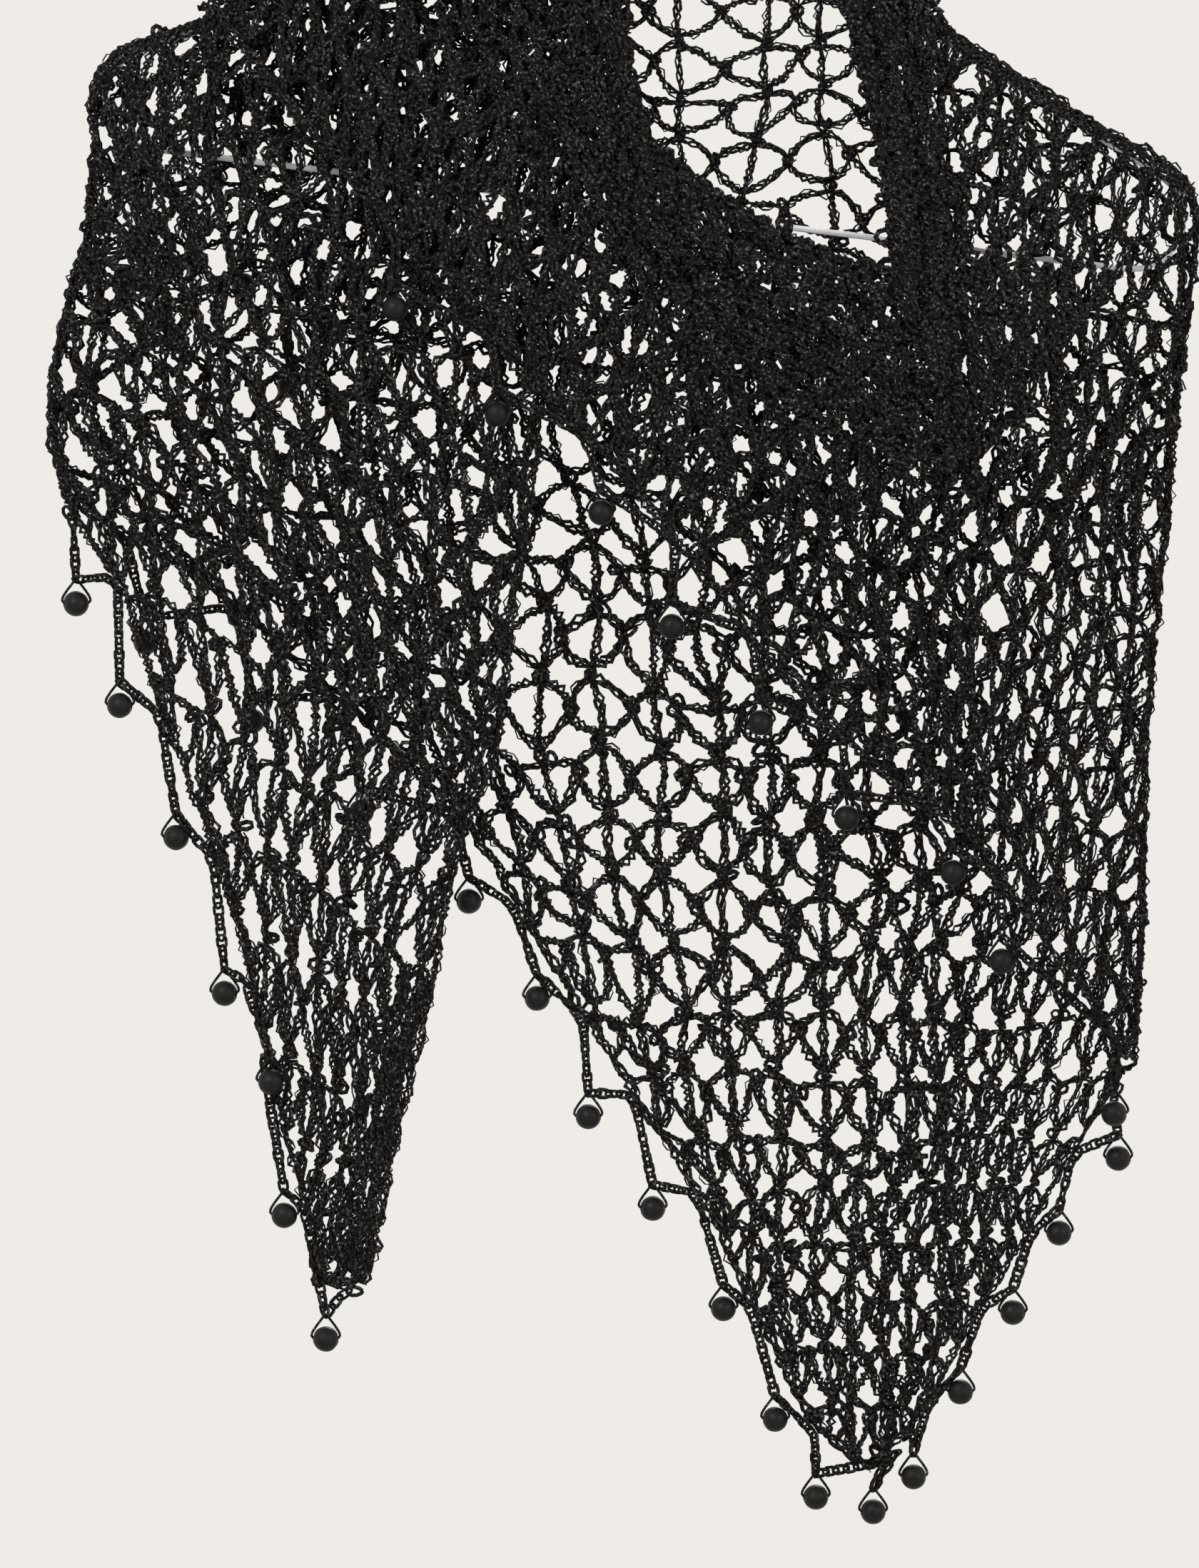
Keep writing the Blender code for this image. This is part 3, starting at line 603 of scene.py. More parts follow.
def lace(
    i_range, k_range, to_plane, lift, keep, seed, step=STRAND_STEP, full=even, borders=(), splits=(),
    strays=0.6, closeness=((0, 0.09),), arcs_apart=True,
):
    """A net: its cells go to the plane of the picture, are kept inside an outline, and are lifted to the
    cloth. For each stretch between two splits it gives the mesh of the posts, and the mesh of all the rest.
    """
    chance = np.random.default_rng(seed)
    line, is_arc, nodes = lattice_strands(i_range, k_range, chance, closeness)
    flat = to_plane(line[..., 0], line[..., 1])
    kept = keep(flat[..., 0], flat[..., 1])
    runs, is_apart = [], []
    for places, flags, arc in zip(flat, kept, is_arc):
        begin, end = longest_run(flags)
        if end - begin >= SHORTEST_RUN:
            runs.append(places[begin:end])
            is_apart.append(arc and arcs_apart)
    for border in borders:
        border = resampled(np.asarray(border, float), BORDER_STEP)
        runs.append(border + chance.normal(size=border.shape) * BORDER_WANDER)
        is_apart.append(True)
    counts = [len(run) for run in runs]
    every = np.concatenate(runs)
    lifted = lift(every[:, 0], every[:, 1])
    slow = np.repeat(chance.uniform(0, 2 * math.pi, len(runs)), counts)
    lifted[:, 1] += 0.0006 * np.sin(slow + 400 * every.sum(axis=1))
    strands = [resampled(run, step) for run in np.split(lifted, np.cumsum(counts)[:-1])]
    flat_nodes = to_plane(nodes[:, 0], nodes[:, 1])
    flat_nodes = flat_nodes[keep(flat_nodes[:, 0], flat_nodes[:, 1])]
    places = lift(flat_nodes[:, 0], flat_nodes[:, 1])
    stretches = []
    for low, high in zip((-math.inf, *splits), (*splits, math.inf)):
        own = [low <= strand[:, 0].mean() < high for strand in strands]
        posts = [strand for strand, here, apart in zip(strands, own, is_apart) if here and not apart]
        arcs = [strand for strand, here, apart in zip(strands, own, is_apart) if here and apart]
        own_knots = knots(places[(places[:, 0] >= low) & (places[:, 0] < high)], chance, full)
        threads = loose_threads(posts + arcs, chance, strays)
        post_mesh = twisted(posts, chance, full)
        arc_mesh = twisted(arcs, chance, full)
        stretches.append((post_mesh, joined([arc_mesh, own_knots, threads])))
    return stretches


# Looks

def look(name, colour, roughness):
    material = bpy.data.materials.new(name)
    material.use_nodes = True
    shader = material.node_tree.nodes["Principled BSDF"]
    shader.inputs["Base Color"].default_value = (*colour, 1)
    shader.inputs["Roughness"].default_value = roughness
    return material, shader


def noise(material, scale, detail):
    """A noise from 0 to 1 in the piece's own space."""
    nodes, links = material.node_tree.nodes, material.node_tree.links
    place = nodes.new("ShaderNodeTexCoord")
    texture = nodes.new("ShaderNodeTexNoise")
    texture.inputs["Scale"].default_value = scale
    texture.inputs["Detail"].default_value = detail
    links.new(place.outputs["Object"], texture.inputs["Vector"])
    return texture.outputs["Fac"]


def vary(material, shader, socket, source, stops):
    """Lets one of the shader's inputs follow a noise through a ramp of colours or of greys."""
    nodes, links = material.node_tree.nodes, material.node_tree.links
    node = nodes.new("ShaderNodeValToRGB")
    elements = node.color_ramp.elements
    elements[0].position, elements[1].position = stops[0][0], stops[-1][0]
    elements[0].color, elements[1].color = (*stops[0][1], 1), (*stops[-1][1], 1)
    for position, colour in stops[1:-1]:
        elements.new(position).color = (*colour, 1)
    links.new(source, node.inputs["Fac"])
    links.new(node.outputs["Color"], shader.inputs[socket])


def bump(material, shader, source, distance, strength):
    node = material.node_tree.nodes.new("ShaderNodeBump")
    node.inputs["Distance"].default_value = distance
    node.inputs["Strength"].default_value = strength
    material.node_tree.links.new(source, node.inputs["Height"])
    material.node_tree.links.new(node.outputs["Normal"], shader.inputs["Normal"])


def grey(value):
    return value, value, value


def yarn_look(name, dark, light, painted_glint):
    """Black yarn: nearly black, greyer here and there at random, and painted highlights: small bright flecks
    that stand in for a fibre catching the light.
    """
    material, shader = look(name, dark, 0.6)
    fibres_and_glints = noise(material, 900, 5)
    # Painted highlight: the last stop of this ramp turns the highest noise values into bright flecks that
    # stand in for glints of light on the yarn.
    vary(material, shader, "Base Color", fibres_and_glints, [(0.38, dark), (0.56, light), (0.66, painted_glint)])
    fine = noise(material, 2600, 2)
    vary(material, shader, "Roughness", fine, [(0.3, grey(0.38)), (0.7, grey(0.80))])
    bump(material, shader, fine, 0.0004, 0.8)
    shader.inputs["Specular IOR Level"].default_value = 0.12
    return material


def bead_look():
    """Black stained wood with a fine grain and a dull polish."""
    material, shader = look("black wooden bead", (0.005, 0.004, 0.004), 0.42)
    shader.inputs["Specular IOR Level"].default_value = 0.22
    grain = noise(material, 700, 5)
    vary(material, shader, "Base Color", grain, [(0.30, grey(0.002)), (0.75, (0.009, 0.007, 0.006))])
    vary(material, shader, "Roughness", grain, [(0.3, grey(0.34)), (0.75, grey(0.60))])
    bump(material, shader, grain, 0.0002, 0.35)
    return material


def wire_look():
    """White plastic coating, a little worn."""
    material, shader = look("white coated wire", (0.80, 0.81, 0.82), 0.28)
    wear = noise(material, 180, 4)
    vary(material, shader, "Base Color", wear, [(0.35, (0.74, 0.75, 0.76)), (0.70, (0.84, 0.85, 0.86))])
    vary(material, shader, "Roughness", wear, [(0.3, grey(0.22)), (0.7, grey(0.38))])
    bump(material, shader, wear, 0.0002, 0.15)
    return material


# The third colour of each yarn is painted highlight: bright flecks that stand in for glints of light on the
# yarn.
YARN = yarn_look("black crochet yarn", grey(0.002), (0.010, 0.009, 0.009), (0.11, 0.10, 0.095))
CHAIN_YARN = yarn_look("black chain yarn", grey(0.003), (0.012, 0.011, 0.010), (0.08, 0.075, 0.07))
BEAD_WOOD = bead_look()
COATED_WIRE = wire_look()


# Nets

def on_crest(places, raised=0.0):
    return [(x, float(crest_height(x)) + raised) for x in places]


LEFT_TOP = [place for place in CREST_LINE if place[0] < NECK_LEFT_X] + on_crest([NECK_LEFT_X])
RIGHT_CREST = on_crest([NECK_RIGHT_X]) + [place for place in CREST_LINE if place[0] > NECK_RIGHT_X]
LEFT_CREST = on_crest((NECK_LEFT_X, -0.088, -0.143, TAIL_HEM[0][0]), RAISED)
TAIL_TOP = on_crest((TAIL_HEM[0][0], -0.150, -0.105, TAIL_NECK_EDGE[0][0]), RAISED)
BACK_TOP = LEFT_TOP + RIGHT_CREST
BACK_OUTLINE = [*BACK_TOP, *RIGHT_SIDE[1:], *BACK_RIGHT_HEM[::-1][1:], *BACK_LEFT_HEM[::-1][1:]]
BACK_OUTLINE += LEFT_SIDE[::-1][1:-1]
LEFT_OUTLINE = [*LEFT_TOP, *LEFT_WING_NECK_EDGE[1:], *LEFT_WING_HEM[::-1], *LEFT_SIDE[::-1][1:-1]]
RIDGE = [RIGHT_CREST[0], *NECK_RIDGE, LEFT_CREST[0]]
RIGHT_OUTER = [RIGHT_CREST[-1], *RIGHT_SIDE[1:-1], *RIGHT_WING_HEM, LEFT_CREST[-1]]
RIGHT_OUTLINE = RIDGE[::-1] + RIGHT_CREST[1:] + RIGHT_OUTER[1:] + LEFT_CREST[::-1][1:-1]
TAIL_OUTLINE = [*TAIL_TOP, *TAIL_NECK_EDGE[1:], *TAIL_HEM[::-1][:-1]]

# Cells of the back, as counted on the photograph: height at each row, cell width at each height
BACK_ROWS = (
    (0, -0.078), (6.4, -0.203), (10.3, -0.290), (13.0, -0.360), (17.2, -0.470), (21.8, -0.583),
    (28.6, -0.726),
)
BACK_CELL_WIDTHS = (
    (-0.730, 0.0125), (-0.660, 0.0132), (-0.620, 0.0142), (-0.590, 0.0158), (-0.535, 0.0182),
    (-0.480, 0.0202), (-0.430, 0.0222), (-0.370, 0.0230), (-0.310, 0.0258), (-0.190, 0.0268),
    (-0.085, 0.0270),
)
BACK_COLUMNS = ((-16, -16), (1, 1), (2, 1.9), (4, 3.4), (12, 8.4))
BACK_AXIS = 0.045


def back_plane(a, b):
    height = column(BACK_ROWS, b)
    x = BACK_AXIS + column(BACK_COLUMNS, a) * column(BACK_CELL_WIDTHS, height)
    z = height + 0.6 * (x - 0.03) ** 2 * (x < 0.03) - 0.004
    x = BACK_AXIS + column(BACK_COLUMNS, a) * column(BACK_CELL_WIDTHS, z)
    return np.stack([x, z], axis=-1)


# The left wing's columns run along its neck edge, and its rows climb to the left
LEFT_CELL_WIDTHS = (
    (-0.660, 0.0062), (-0.590, 0.0080), (-0.520, 0.0104), (-0.450, 0.0130), (-0.380, 0.0146),
    (-0.300, 0.0172), (-0.100, 0.0182),
)
LEFT_ROW_RISE = ((-0.66, 0.75), (-0.52, 0.74), (-0.38, 0.66), (-0.30, 0.40), (-0.10, 0.30))
LEFT_TOP_ROW = -0.110
LEFT_ROW_HEIGHT = 0.0318


def left_plane(a, b):
    height = LEFT_TOP_ROW - b * LEFT_ROW_HEIGHT
    z = height + column(LEFT_ROW_RISE, height) * a * column(LEFT_CELL_WIDTHS, height)
    x = by_height(LEFT_WING_NECK_EDGE, z) - 0.004 - a * column(LEFT_CELL_WIDTHS, z)
    return np.stack([x, z], axis=-1)


# The right wing's columns and rows: narrow cells at the right side, where the net hangs together
RIGHT_COLUMNS = (
    (-3, 0.233), (0, 0.190), (6, 0.1036), (7, 0.088), (8, 0.071), (9, 0.0525), (10, 0.0325), (24, -0.2475),
)
RIGHT_ROW_RISE = ((-0.25, 0.75), (-0.05, 0.66), (0.05, 0.48), (0.12, 0.34), (0.20, 0.26))
RIGHT_ROW_HEIGHTS = ((-0.25, 0.0290), (0.05, 0.0265), (0.12, 0.0275), (0.20, 0.0280))
RIGHT_TOP_ROW = -0.205
RIGHT_LEVEL = -0.30
RIGHT_LEAST_LEAN = 0.16


def right_plane(a, b):
    """Columns start at the level where their places were counted, and lean as the rows rise."""
    start = column(RIGHT_COLUMNS, a)
    grid = np.linspace(-0.30, 0.24, 109)
    climb = np.concatenate([[0.0], np.cumsum(column(RIGHT_ROW_RISE, grid[1:]) * np.diff(grid))])
    climb = climb[-1] - climb
    lean = np.maximum(RIGHT_LEAST_LEAN, 0.45 * column(RIGHT_ROW_RISE, start))
    z = RIGHT_TOP_ROW - b * column(RIGHT_ROW_HEIGHTS, start) + np.interp(start, grid, climb)
    return np.stack([start + lean * (z - RIGHT_LEVEL), z], axis=-1)


# The tail's columns run along its neck edge too
TAIL_TOP_ROW = -0.095
TAIL_CELL = (0.0165, 0.026)


def tail_plane(a, b):
    z = TAIL_TOP_ROW - a * TAIL_CELL[1]
    return np.stack([by_height(TAIL_NECK_EDGE, z) - b * TAIL_CELL[0], z], axis=-1)


# The flap's cells: how many along the neck, and how many out from the turn
FLAP_COLUMNS = 27
FLAP_ROWS = 6.5
FLAP_START = -0.07
RIGHT_PATCH = patch(RIDGE, RIGHT_OUTER, RIGHT_CREST, LEFT_CREST)


def flap_plane(a, b):
    return np.stack([a / FLAP_COLUMNS, (b - 0.5) / FLAP_ROWS], axis=-1)


def flap_place(a, b):
    """On the turned-down flap: a along the neck, b out from the turn, both in shares."""
    width = column(FLAP_WIDTHS, a)
    outward = RIGHT_PATCH(a, np.abs(b) * width)
    lift = np.where(b >= 0, 0.5 + 0.5 * smooth(b / 0.10), 0.5 * (1 - smooth(-b / 0.06)))
    return outward, lift


def flap_lift(a, b):
    """On the flap, in space: it stands off the wing and turns over at the neck."""
    place, lift = flap_place(a, b)
    x, z = place[..., 0], place[..., 1]
    ridges = np.sin(19 * b + 14 * a) + 0.7 * np.sin(31 * b - 37 * a + 1)
    lift = lift * FLAP_LIFT + 0.0017 * ridges * smooth(b / 0.15)
    turn = 0.5 * math.pi * np.minimum(1.0, below_crest(x, z) / (2 * CREST))
    y = -SEAM_SETBACK - right_wing_depth(x, z) - lift * np.sin(turn)
    return np.stack([x, y, z + lift * np.cos(turn)], axis=-1)


def flap_end(a):
    """The uneven line at which the flap lies down on the wing."""
    return 0.78 + 0.20 * smooth((a - 0.24) / 0.12) + 0.08 * np.sin(61 * a) + 0.05 * np.sin(143 * a + 1)


def on_flap(a, b):
    return (a >= 0) & (a <= 1) & (b >= FLAP_START) & (b <= flap_end(a))


# How full the yarn is from place to place: the strands of the right side are thinner by this share
EDGE_THINNING = 0.28


def near(x, z, spot, reach):
    """1 at a spot and less the farther off a place is."""
    return np.exp(-((x - spot[0]) / reach[0]) ** 2 - ((z - spot[1]) / reach[1]) ** 2)


def right_edge(x, z):
    """How far a place belongs to the right side, where the strands are thin."""
    return smooth((x - 0.090) / 0.050) * smooth((-z - 0.330) / 0.060)


def back_fullness(x, z):
    full = 0.82 + 0.22 * smooth((-z - 0.215) / 0.10)
    middle = 0.22 * near(x, z, (0.055, -0.425), (0.080, 0.110))
    return full * (1 + middle) * (1 - EDGE_THINNING * right_edge(x, z))


def left_wing_fullness(x, z):
    full = 1 + 0.22 * near(x, z, (-0.135, -0.400), (0.035, 0.070)) - 0.04 * smooth((-z - 0.460) / 0.060)
    return full * (1 - 0.20 * smooth((-0.213 - x) / 0.02) * smooth((z + 0.19) / 0.03))


def flap_fullness(x, z):
    return np.full_like(x, 1.12)


def right_wing_fullness(x, z):
    full = 1 + 0.34 * near(x, z, (-0.070, -0.270), (0.080, 0.090))
    full = full + 0.60 * near(x, z, (0.115, -0.262), (0.034, 0.032))
    shoulder = 0.30 * smooth((x - 0.125) / 0.04) * (1 - smooth((-z - 0.26) / 0.14))
    return full * (1 - shoulder) * (1 - EDGE_THINNING * right_edge(x, z))


# Where the photograph shows a second layer of the same net: behind the cowl, and folded in at the left side
COWL_FOLD = (
    (-0.158, -0.160), (-0.121, -0.155), (-0.065, -0.177), (-0.026, -0.227), (0.002, -0.261),
    (0.058, -0.289), (0.097, -0.250), (0.142, -0.255), (0.148, -0.267), (0.125, -0.298),
    (0.100, -0.328), (0.069, -0.346), (0.030, -0.352), (-0.009, -0.346), (-0.030, -0.338),
    (-0.065, -0.330), (-0.093, -0.311), (-0.121, -0.275), (-0.138, -0.236), (-0.155, -0.199),
)
LEFT_FOLD = (
    (-0.234, -0.172), (-0.208, -0.160), (-0.186, -0.166), (-0.183, -0.188), (-0.197, -0.211),
    (-0.194, -0.236), (-0.191, -0.261), (-0.202, -0.283), (-0.222, -0.289), (-0.239, -0.275),
    (-0.245, -0.255), (-0.241, -0.236), (-0.237, -0.213), (-0.238, -0.191),
)

# The yarn that lies on the hanger's right end, and the curl at the foot of the left wing
HANGER_END = ((0.170, -0.209), (0.1845, -0.216), (0.1855, -0.227), (0.1826, -0.241), (0.169, -0.249))
FOOT_CURL = (
    (-0.134, -0.640), (-0.139, -0.646), (-0.146, -0.647), (-0.153, -0.643), (-0.156, -0.636),
    (-0.151, -0.632), (-0.144, -0.637), (-0.139, -0.642),
)


def frayed(outline, x, z):
    """Inside an outline whose edge is uneven by a few millimetres."""
    return inside(outline, x + 0.005 * np.sin(310 * z + 90 * x), z + 0.005 * np.sin(270 * x - 120 * z))


def moved(line, right, up):
    return [(x + right, z + up) for x, z in line]


def lowered(line):
    """The crest twice more, a little lower each time, where the yarn lies close on the hanger's wire."""
    return [moved(line, 0.0, -drop) for drop in (0.0015, 0.0045)]


def gathered_foot():
    """The yarn bunched along the left wing's last stretch of neck edge."""
    bunched = [moved(LEFT_WING_NECK_EDGE[-3:], -aside, aside) for aside in (0.0025, 0.0050, 0.0080)]
    return [*bunched, FOOT_CURL, moved(FOOT_CURL, 0.001, 0.002)]


def warped(plane, size):
    return lambda a, b: warp(plane(a, b), size)


def lifted_to(depth_at, side, raised=0.0):
    """From the picture's plane to a layer of cloth, or to a fold that lies a little in front of it."""
    return lambda x, z: surface(x, z, depth_at, side) - (0.0, raised, 0.0)


def within(outline):
    return lambda x, z: inside(outline, x, z)


def folded_in(fold, outline):
    return lambda x, z: frayed(fold, x, z) & inside(outline, x, z)


def build_nets():
    """The meshes of each sheet: its posts, and its arcs with the borders, knots and threads."""
    back_left, back_right = lace(
        (-14, 12), (-1, 30), warped(back_plane, 0.0016), lifted_to(back_depth, 1), within(BACK_OUTLINE), 11,
        full=back_fullness, borders=[BACK_TOP, LEFT_SIDE, RIGHT_SIDE, BACK_LEFT_HEM, BACK_RIGHT_HEM],
        splits=(0.038,), strays=0.75, closeness=((0, 0.03), (13, 0.03), (19, 0.10)),
    )
    [left] = lace(
        (-1, 16), (-2, 21), warped(left_plane, 0.0013), lifted_to(left_wing_depth, -1),
        within(LEFT_OUTLINE), 12, full=left_wing_fullness, strays=0.8, closeness=((0, 0.17),),
        borders=[LEFT_WING_HEM, LEFT_WING_NECK_EDGE, LEFT_SIDE, *lowered(LEFT_TOP), *gathered_foot()],
    )
    [right] = lace(
        (-3, 24), (-9, 18), warped(right_plane, 0.0013), lifted_to(right_wing_depth, -1),
        within(RIGHT_OUTLINE), 13, full=right_wing_fullness, closeness=((0, 0.13),),
        borders=[RIGHT_WING_HEM, LEFT_CREST, RIGHT_SIDE, *lowered(RIGHT_CREST), HANGER_END],
    )
    [cowl_fold] = lace(
        (-3, 24), (-9, 18), warped(lambda a, b: right_plane(a + 0.45, b + 0.5), 0.0024),
        lifted_to(right_wing_depth, -1, FOLD_GAP), folded_in(COWL_FOLD, RIGHT_OUTLINE), 16,
        full=flap_fullness,
    )
    [left_fold] = lace(
        (6, 18), (-3, 9), warped(lambda a, b: left_plane(a * 0.75 + 3.5, b * 0.8 + 0.4), 0.0026),
        lifted_to(left_wing_depth, -1, FOLD_GAP), folded_in(LEFT_FOLD, LEFT_OUTLINE), 17,
    )
    [flap] = lace(
        (0, FLAP_COLUMNS), (-1, 7), flap_plane, flap_lift, on_flap, 14, step=FLAP_STEP, full=flap_fullness,
    )
    [tail] = lace(
        (0, 8), (-1, 10), tail_plane, lifted_to(tail_depth, 1), within(TAIL_OUTLINE), 15,
        borders=[TAIL_HEM, TAIL_NECK_EDGE], arcs_apart=False,
    )
    meshes = {
        "back_left": back_left,
        "back_right": back_right,
        "left_wing": (left[0], joined([left[1], *left_fold])),
        "right_wing": (right[0], joined([right[1], *cowl_fold])),
        "neck_flap": flap,
        "tail": tail,
    }
    pieces = {}
    for name, (strands, knotted) in meshes.items():
        pieces[name + "_lace"] = mesh_piece(name + "_lace", strands, YARN)
        pieces[name + "_arcs"] = mesh_piece(name + "_arcs", knotted, YARN)
    return pieces


# Edging

def layer_of(depth_at, side, outward, under, end, hem_gap):
    """What an edging has to know of its cloth."""
    return {
        "depth": depth_at,
        "side": side,
        "outward": outward,
        "under": under,
        "end": end,
        "hem_gap": hem_gap,
    }


def on_hem(line, layer, share):
    x, z = along(line, share)
    return np.array([x, layer["side"] * (SEAM_SETBACK + layer["depth"](x, z)), z])


def beyond_hem(line, layer, share):
    """Where the chain is crocheted to a hem, and half of its foot along the hem."""
    run = on_hem(line, layer, share + 0.006) - on_hem(line, layer, share - 0.006)
    run /= np.linalg.norm(run)
    out = np.array([-run[2], 0.0, run[0]])
    out /= np.linalg.norm(out)
    if out[0] * layer["outward"][0] + out[2] * layer["outward"][1] < 0:
        out = -out
    return on_hem(line, layer, share) + out * (CHAIN / 2 + layer["hem_gap"]), run * FOOT_HALF_LENGTH


def clear_of_cloth(point, layer, radius, margin=0.0005):
    """The same place, or one in front of the other cloth that lies there."""
    below = layer["under"](point[0], point[2], margin)
    if not below:
        return point
    reach = SEAM_SETBACK + below + 0.8 * CLOTH + GAP + radius
    return np.array([point[0], layer["side"] * max(layer["side"] * point[1], reach), point[2]])


def share_at_height(line, z):
    line = np.asarray(line, float)
    length = np.concatenate([[0.0], np.cumsum(np.hypot(*np.diff(line, axis=0).T))])
    return column(list(zip(line[:, 1], length / length[-1])), z)


def edging_runs(line, layer, table):
    """The chain's stretches between its beads, and the beads' centres."""
    shares = [share_at_height(line, z + BEAD / 2 + drop) for _, z, drop in table] + [layer["end"]]
    feet = [beyond_hem(line, layer, share) for share in shares]
    runs, beads, run_points = [], [], []
    for i, (foot, run) in enumerate(feet):
        run_points += [foot - run, foot + run]
        if i == len(table):
            break
        bead = np.array([table[i][0], foot[1], table[i][1]])
        bead = clear_of_cloth(bead, layer, BEAD / 2 + CHAIN, BEAD / 2 + CHAIN)
        top = bead + (0.0, 0.0, BEAD / 2 + GAP + CHAIN / 2 + CHAIN_END)
        down = [(foot + run) + (top - foot - run) * share for share in (0.35, 0.7)]
        next_foot = feet[i + 1][0] - feet[i + 1][1]
        up = [top + (next_foot - top) * share for share in (0.3, 0.65)]
        runs.append([clear_of_cloth(point, layer, CHAIN / 2) for point in [*run_points, *down, top]])
        run_points = [clear_of_cloth(point, layer, CHAIN / 2) for point in [top, *up]]
        beads.append(bead)
    runs.append(run_points)
    return runs, beads


def over_nothing(x, z, margin):
    return 0.0


def over_left_wing_cloth(x, z, margin):
    hem, neck_edge = by_height(LEFT_WING_HEM, z), by_height(LEFT_WING_NECK_EDGE, z)
    is_over = hem - margin < x < neck_edge + margin and z > LEFT_WING_HEM[-1][1] - margin
    return float(left_wing_depth(x, z)) if is_over else 0.0


def over_back_cloth(x, z, margin):
    return float(back_depth(x, z))


LEFT_WING_LAYER = layer_of(left_wing_depth, -1, (-0.97, -0.26), over_left_wing_cloth, 0.985, 0.0015)
BACK_LEFT_LAYER = layer_of(back_depth, 1, (-0.6, -0.8), over_nothing, 0.985, 0.0015)
BACK_RIGHT_LAYER = layer_of(back_depth, 1, (0.6, -0.8), over_nothing, 0.90, 0.0008)
RIGHT_WING_LAYER = layer_of(right_wing_depth, -1, (-0.7, -0.7), over_left_wing_cloth, 0.985, 0.0006)
TAIL_LAYER = layer_of(tail_depth, 1, (-1.0, -0.1), over_back_cloth, 0.985, 0.0003)


def bead_loop(bead, chance):
    """The thin yarn that holds a bead: from the chain's end down each side and into the drilled hole."""
    half = np.array([(x, 0.0, z) for x, z in BEAD_LOOP])
    whole = np.concatenate([half[::-1] * (-1, 1, 1), half[1:]])
    whole[:, 1] += chance.normal() * 0.0002
    path = resampled(whole + bead, BEAD_YARN_STEP)
    points, up, across, _, _, first, last = frames_along([path])
    return tubes(points, up, across, np.full(len(points), BEAD_YARN), first, last, 4)


def drilled_bead(centre, chance):
    """A turned ball with a hole across it, a little uneven."""
    half = BEAD / 2
    at_bore = math.asin(BEAD_BORE / half)
    angle = np.linspace(at_bore, math.pi - at_bore, BEAD_RINGS)
    outer = np.stack([half * np.cos(angle), half * np.sin(angle)], axis=-1)
    inner = np.array([(outer[-1, 0] * 0.86, BEAD_BORE * 0.8), (outer[0, 0] * 0.86, BEAD_BORE * 0.8)])
    profile = np.concatenate([outer, inner])
    turn = 2 * math.pi * np.arange(BEAD_SIDES) / BEAD_SIDES
    along_bore, radius = np.broadcast_to(profile[:, :, None], (len(profile), 2, BEAD_SIDES)).swapaxes(0, 1)
    points = np.stack([along_bore, radius * np.cos(turn), radius * np.sin(turn)], axis=-1).reshape(-1, 3)
    points = points * (1 + 0.012 * np.sin(points @ chance.normal(size=3) * 700)[:, None])
    yaw = chance.uniform(-0.35, 0.35)
    tilt = np.array([(math.cos(yaw), -math.sin(yaw), 0), (math.sin(yaw), math.cos(yaw), 0), (0, 0, 1)])
    rows = len(profile)
    i, j = np.meshgrid(np.arange(rows), np.arange(BEAD_SIDES), indexing="ij")
    a = i * BEAD_SIDES + j
    b = i * BEAD_SIDES + (j + 1) % BEAD_SIDES
    c = (i + 1) % rows * BEAD_SIDES + (j + 1) % BEAD_SIDES
    d = (i + 1) % rows * BEAD_SIDES + j
    faces = np.concatenate([np.stack([a, c, b], -1).reshape(-1, 3), np.stack([a, d, c], -1).reshape(-1, 3)])
    return points @ tilt.T + centre, faces


def build_edgings():
    """The chain of each hem, with its beads, which are numbered from the first hem to the last."""
    left_wing = (*LEFT_WING_HEM, LEFT_WING_NECK_EDGE[-1])
    back_left = (*BACK_LEFT_HEM, (0.073, -0.713))
    tail = (*TAIL_HEM, TAIL_NECK_EDGE[-1])
    edgings = (
        ("edging_left_wing", left_wing, LEFT_WING_LAYER, LEFT_WING_BEADS),
        ("edging_back_left", back_left, BACK_LEFT_LAYER, BACK_LEFT_BEADS),
        ("edging_back_right", BACK_RIGHT_HEM[::-1], BACK_RIGHT_LAYER, BACK_RIGHT_BEADS),
        ("edging_right_wing", RIGHT_WING_HEM[::-1], RIGHT_WING_LAYER, RIGHT_WING_BEADS),
        ("edging_tail", tail, TAIL_LAYER, TAIL_BEADS),
    )
    chance = np.random.default_rng(21)
    number = 1
    for node, line, layer, table in edgings:
        runs, beads = edging_runs(line, layer, table)
        yarn = [chain(np.array(run), chance) for run in runs] + [bead_loop(bead, chance) for bead in beads]
        name = node + "_chain"
        piece = mesh_piece(name, joined(yarn), CHAIN_YARN)
        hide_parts(node)
        for bead in beads:
            ball = mesh_piece(f"drilled_bead_{number:02d}", drilled_bead(bead, chance), BEAD_WOOD)
            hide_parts(f"bead_{number:02d}")
            number += 1


# Stage

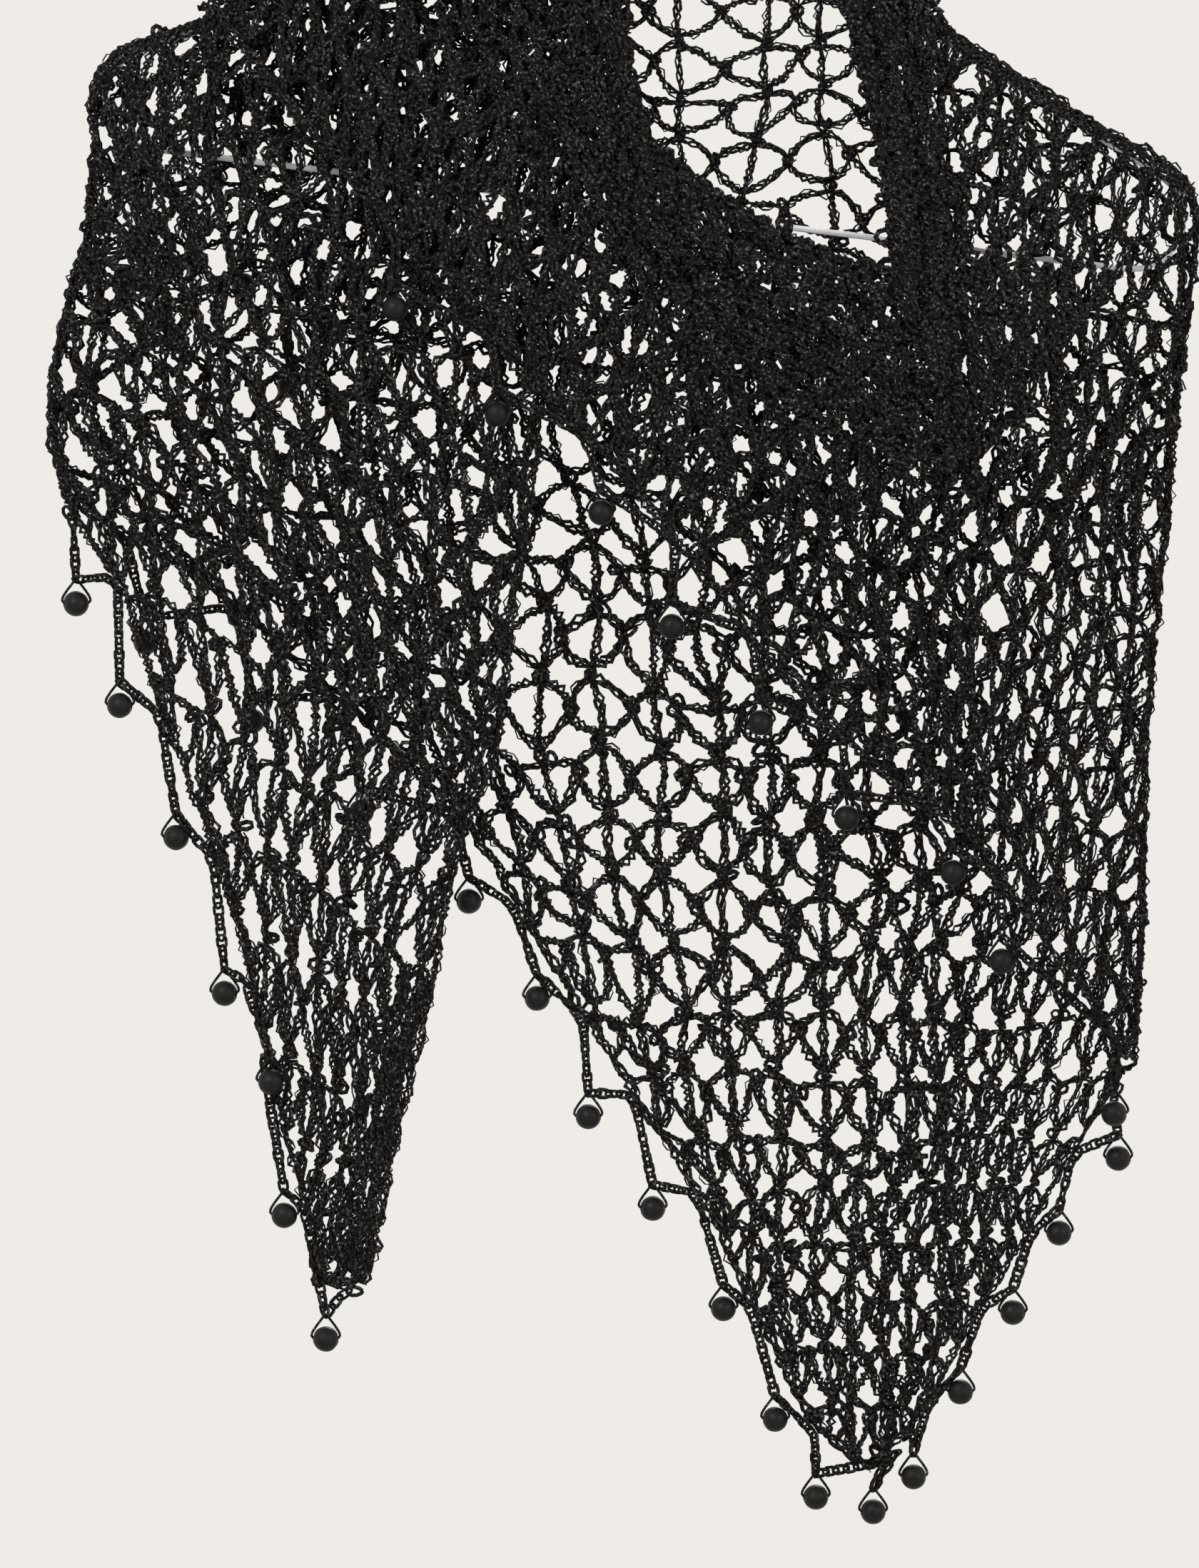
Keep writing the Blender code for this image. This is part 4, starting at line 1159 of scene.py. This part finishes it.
def stage():
    camera_data = bpy.data.cameras.new("camera")
    camera = bpy.data.objects.new("camera", camera_data)
    bpy.context.scene.collection.objects.link(camera)
    bpy.context.scene.camera = camera
    x = (PICTURE[0] / 2 - PICTURE_ORIGIN[0]) * METRES_PER_PIXEL
    z = -(PICTURE[1] / 2 - PICTURE_ORIGIN[1]) * METRES_PER_PIXEL
    camera.location = (x, -CAMERA_DISTANCE, z)
    camera.rotation_euler = (math.pi / 2, 0, 0)
    camera_data.sensor_width = SENSOR_MM
    camera_data.lens = SENSOR_MM * CAMERA_DISTANCE / (PICTURE[1] * METRES_PER_PIXEL)
    camera_data.clip_start = 0.05
    camera_data.clip_end = 50

    bpy.ops.mesh.primitive_circle_add(
        vertices=96, radius=FLOOR_RADIUS, fill_type="NGON", location=(x, 0.0, FLOOR_HEIGHT),
    )
    floor = bpy.context.object
    floor.name = "floor"
    material, _ = look("pale floor", (0.58, 0.57, 0.55), 0.8)
    floor.data.materials.append(material)

    world = bpy.data.worlds.new("pale room")
    bpy.context.scene.world = world
    world.use_nodes = True
    background = world.node_tree.nodes["Background"]
    background.inputs["Color"].default_value = (0.86, 0.835, 0.805, 1)
    background.inputs["Strength"].default_value = 1.0
    bpy.context.scene.view_settings.view_transform = "Standard"
    lights = (
        ("key light", (-0.9, -1.6, 0.5), 1.0, 16),
        ("fill light", (1.3, -1.3, -0.1), 1.0, 6),
        ("back light", (0.3, 1.6, 0.4), 1.2, 10),
    )
    for name, place, size, power in lights:
        data = bpy.data.lights.new(name, "AREA")
        data.shape = "DISK"
        data.size = size
        data.energy = power
        light = bpy.data.objects.new(name, data)
        light.location = place
        aim = Vector((x, 0.0, z)) - Vector(place)
        light.rotation_euler = aim.to_track_quat("-Z", "Y").to_euler()
        bpy.context.scene.collection.objects.link(light)


stage()
NETS = build_nets()
SHEETS = (
    ("back_left", "shawl_back", (0.42, 0.50), 0.104, "hung"),
    ("back_right", None, (0.30, 0.60), 0.070, "hung"),
    ("left_wing", "shawl_left_wing", (0.24, 0.62), 0.070, "hung"),
    ("right_wing", "shawl_right_wing", (0.45, 0.42), 0.068, "hung"),
    ("neck_flap", None, (0.45, 0.20), 0.068, "gathered"),
    ("tail", "shawl_tail", (0.16, 0.22), 0.016, "hung"),
)
for piece_name, node, flat, area, held in SHEETS:
    if node:
        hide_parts(node)
build_edgings()
for material_slot in bpy.data.objects["hanger"].material_slots:
    material_slot.material = COATED_WIRE
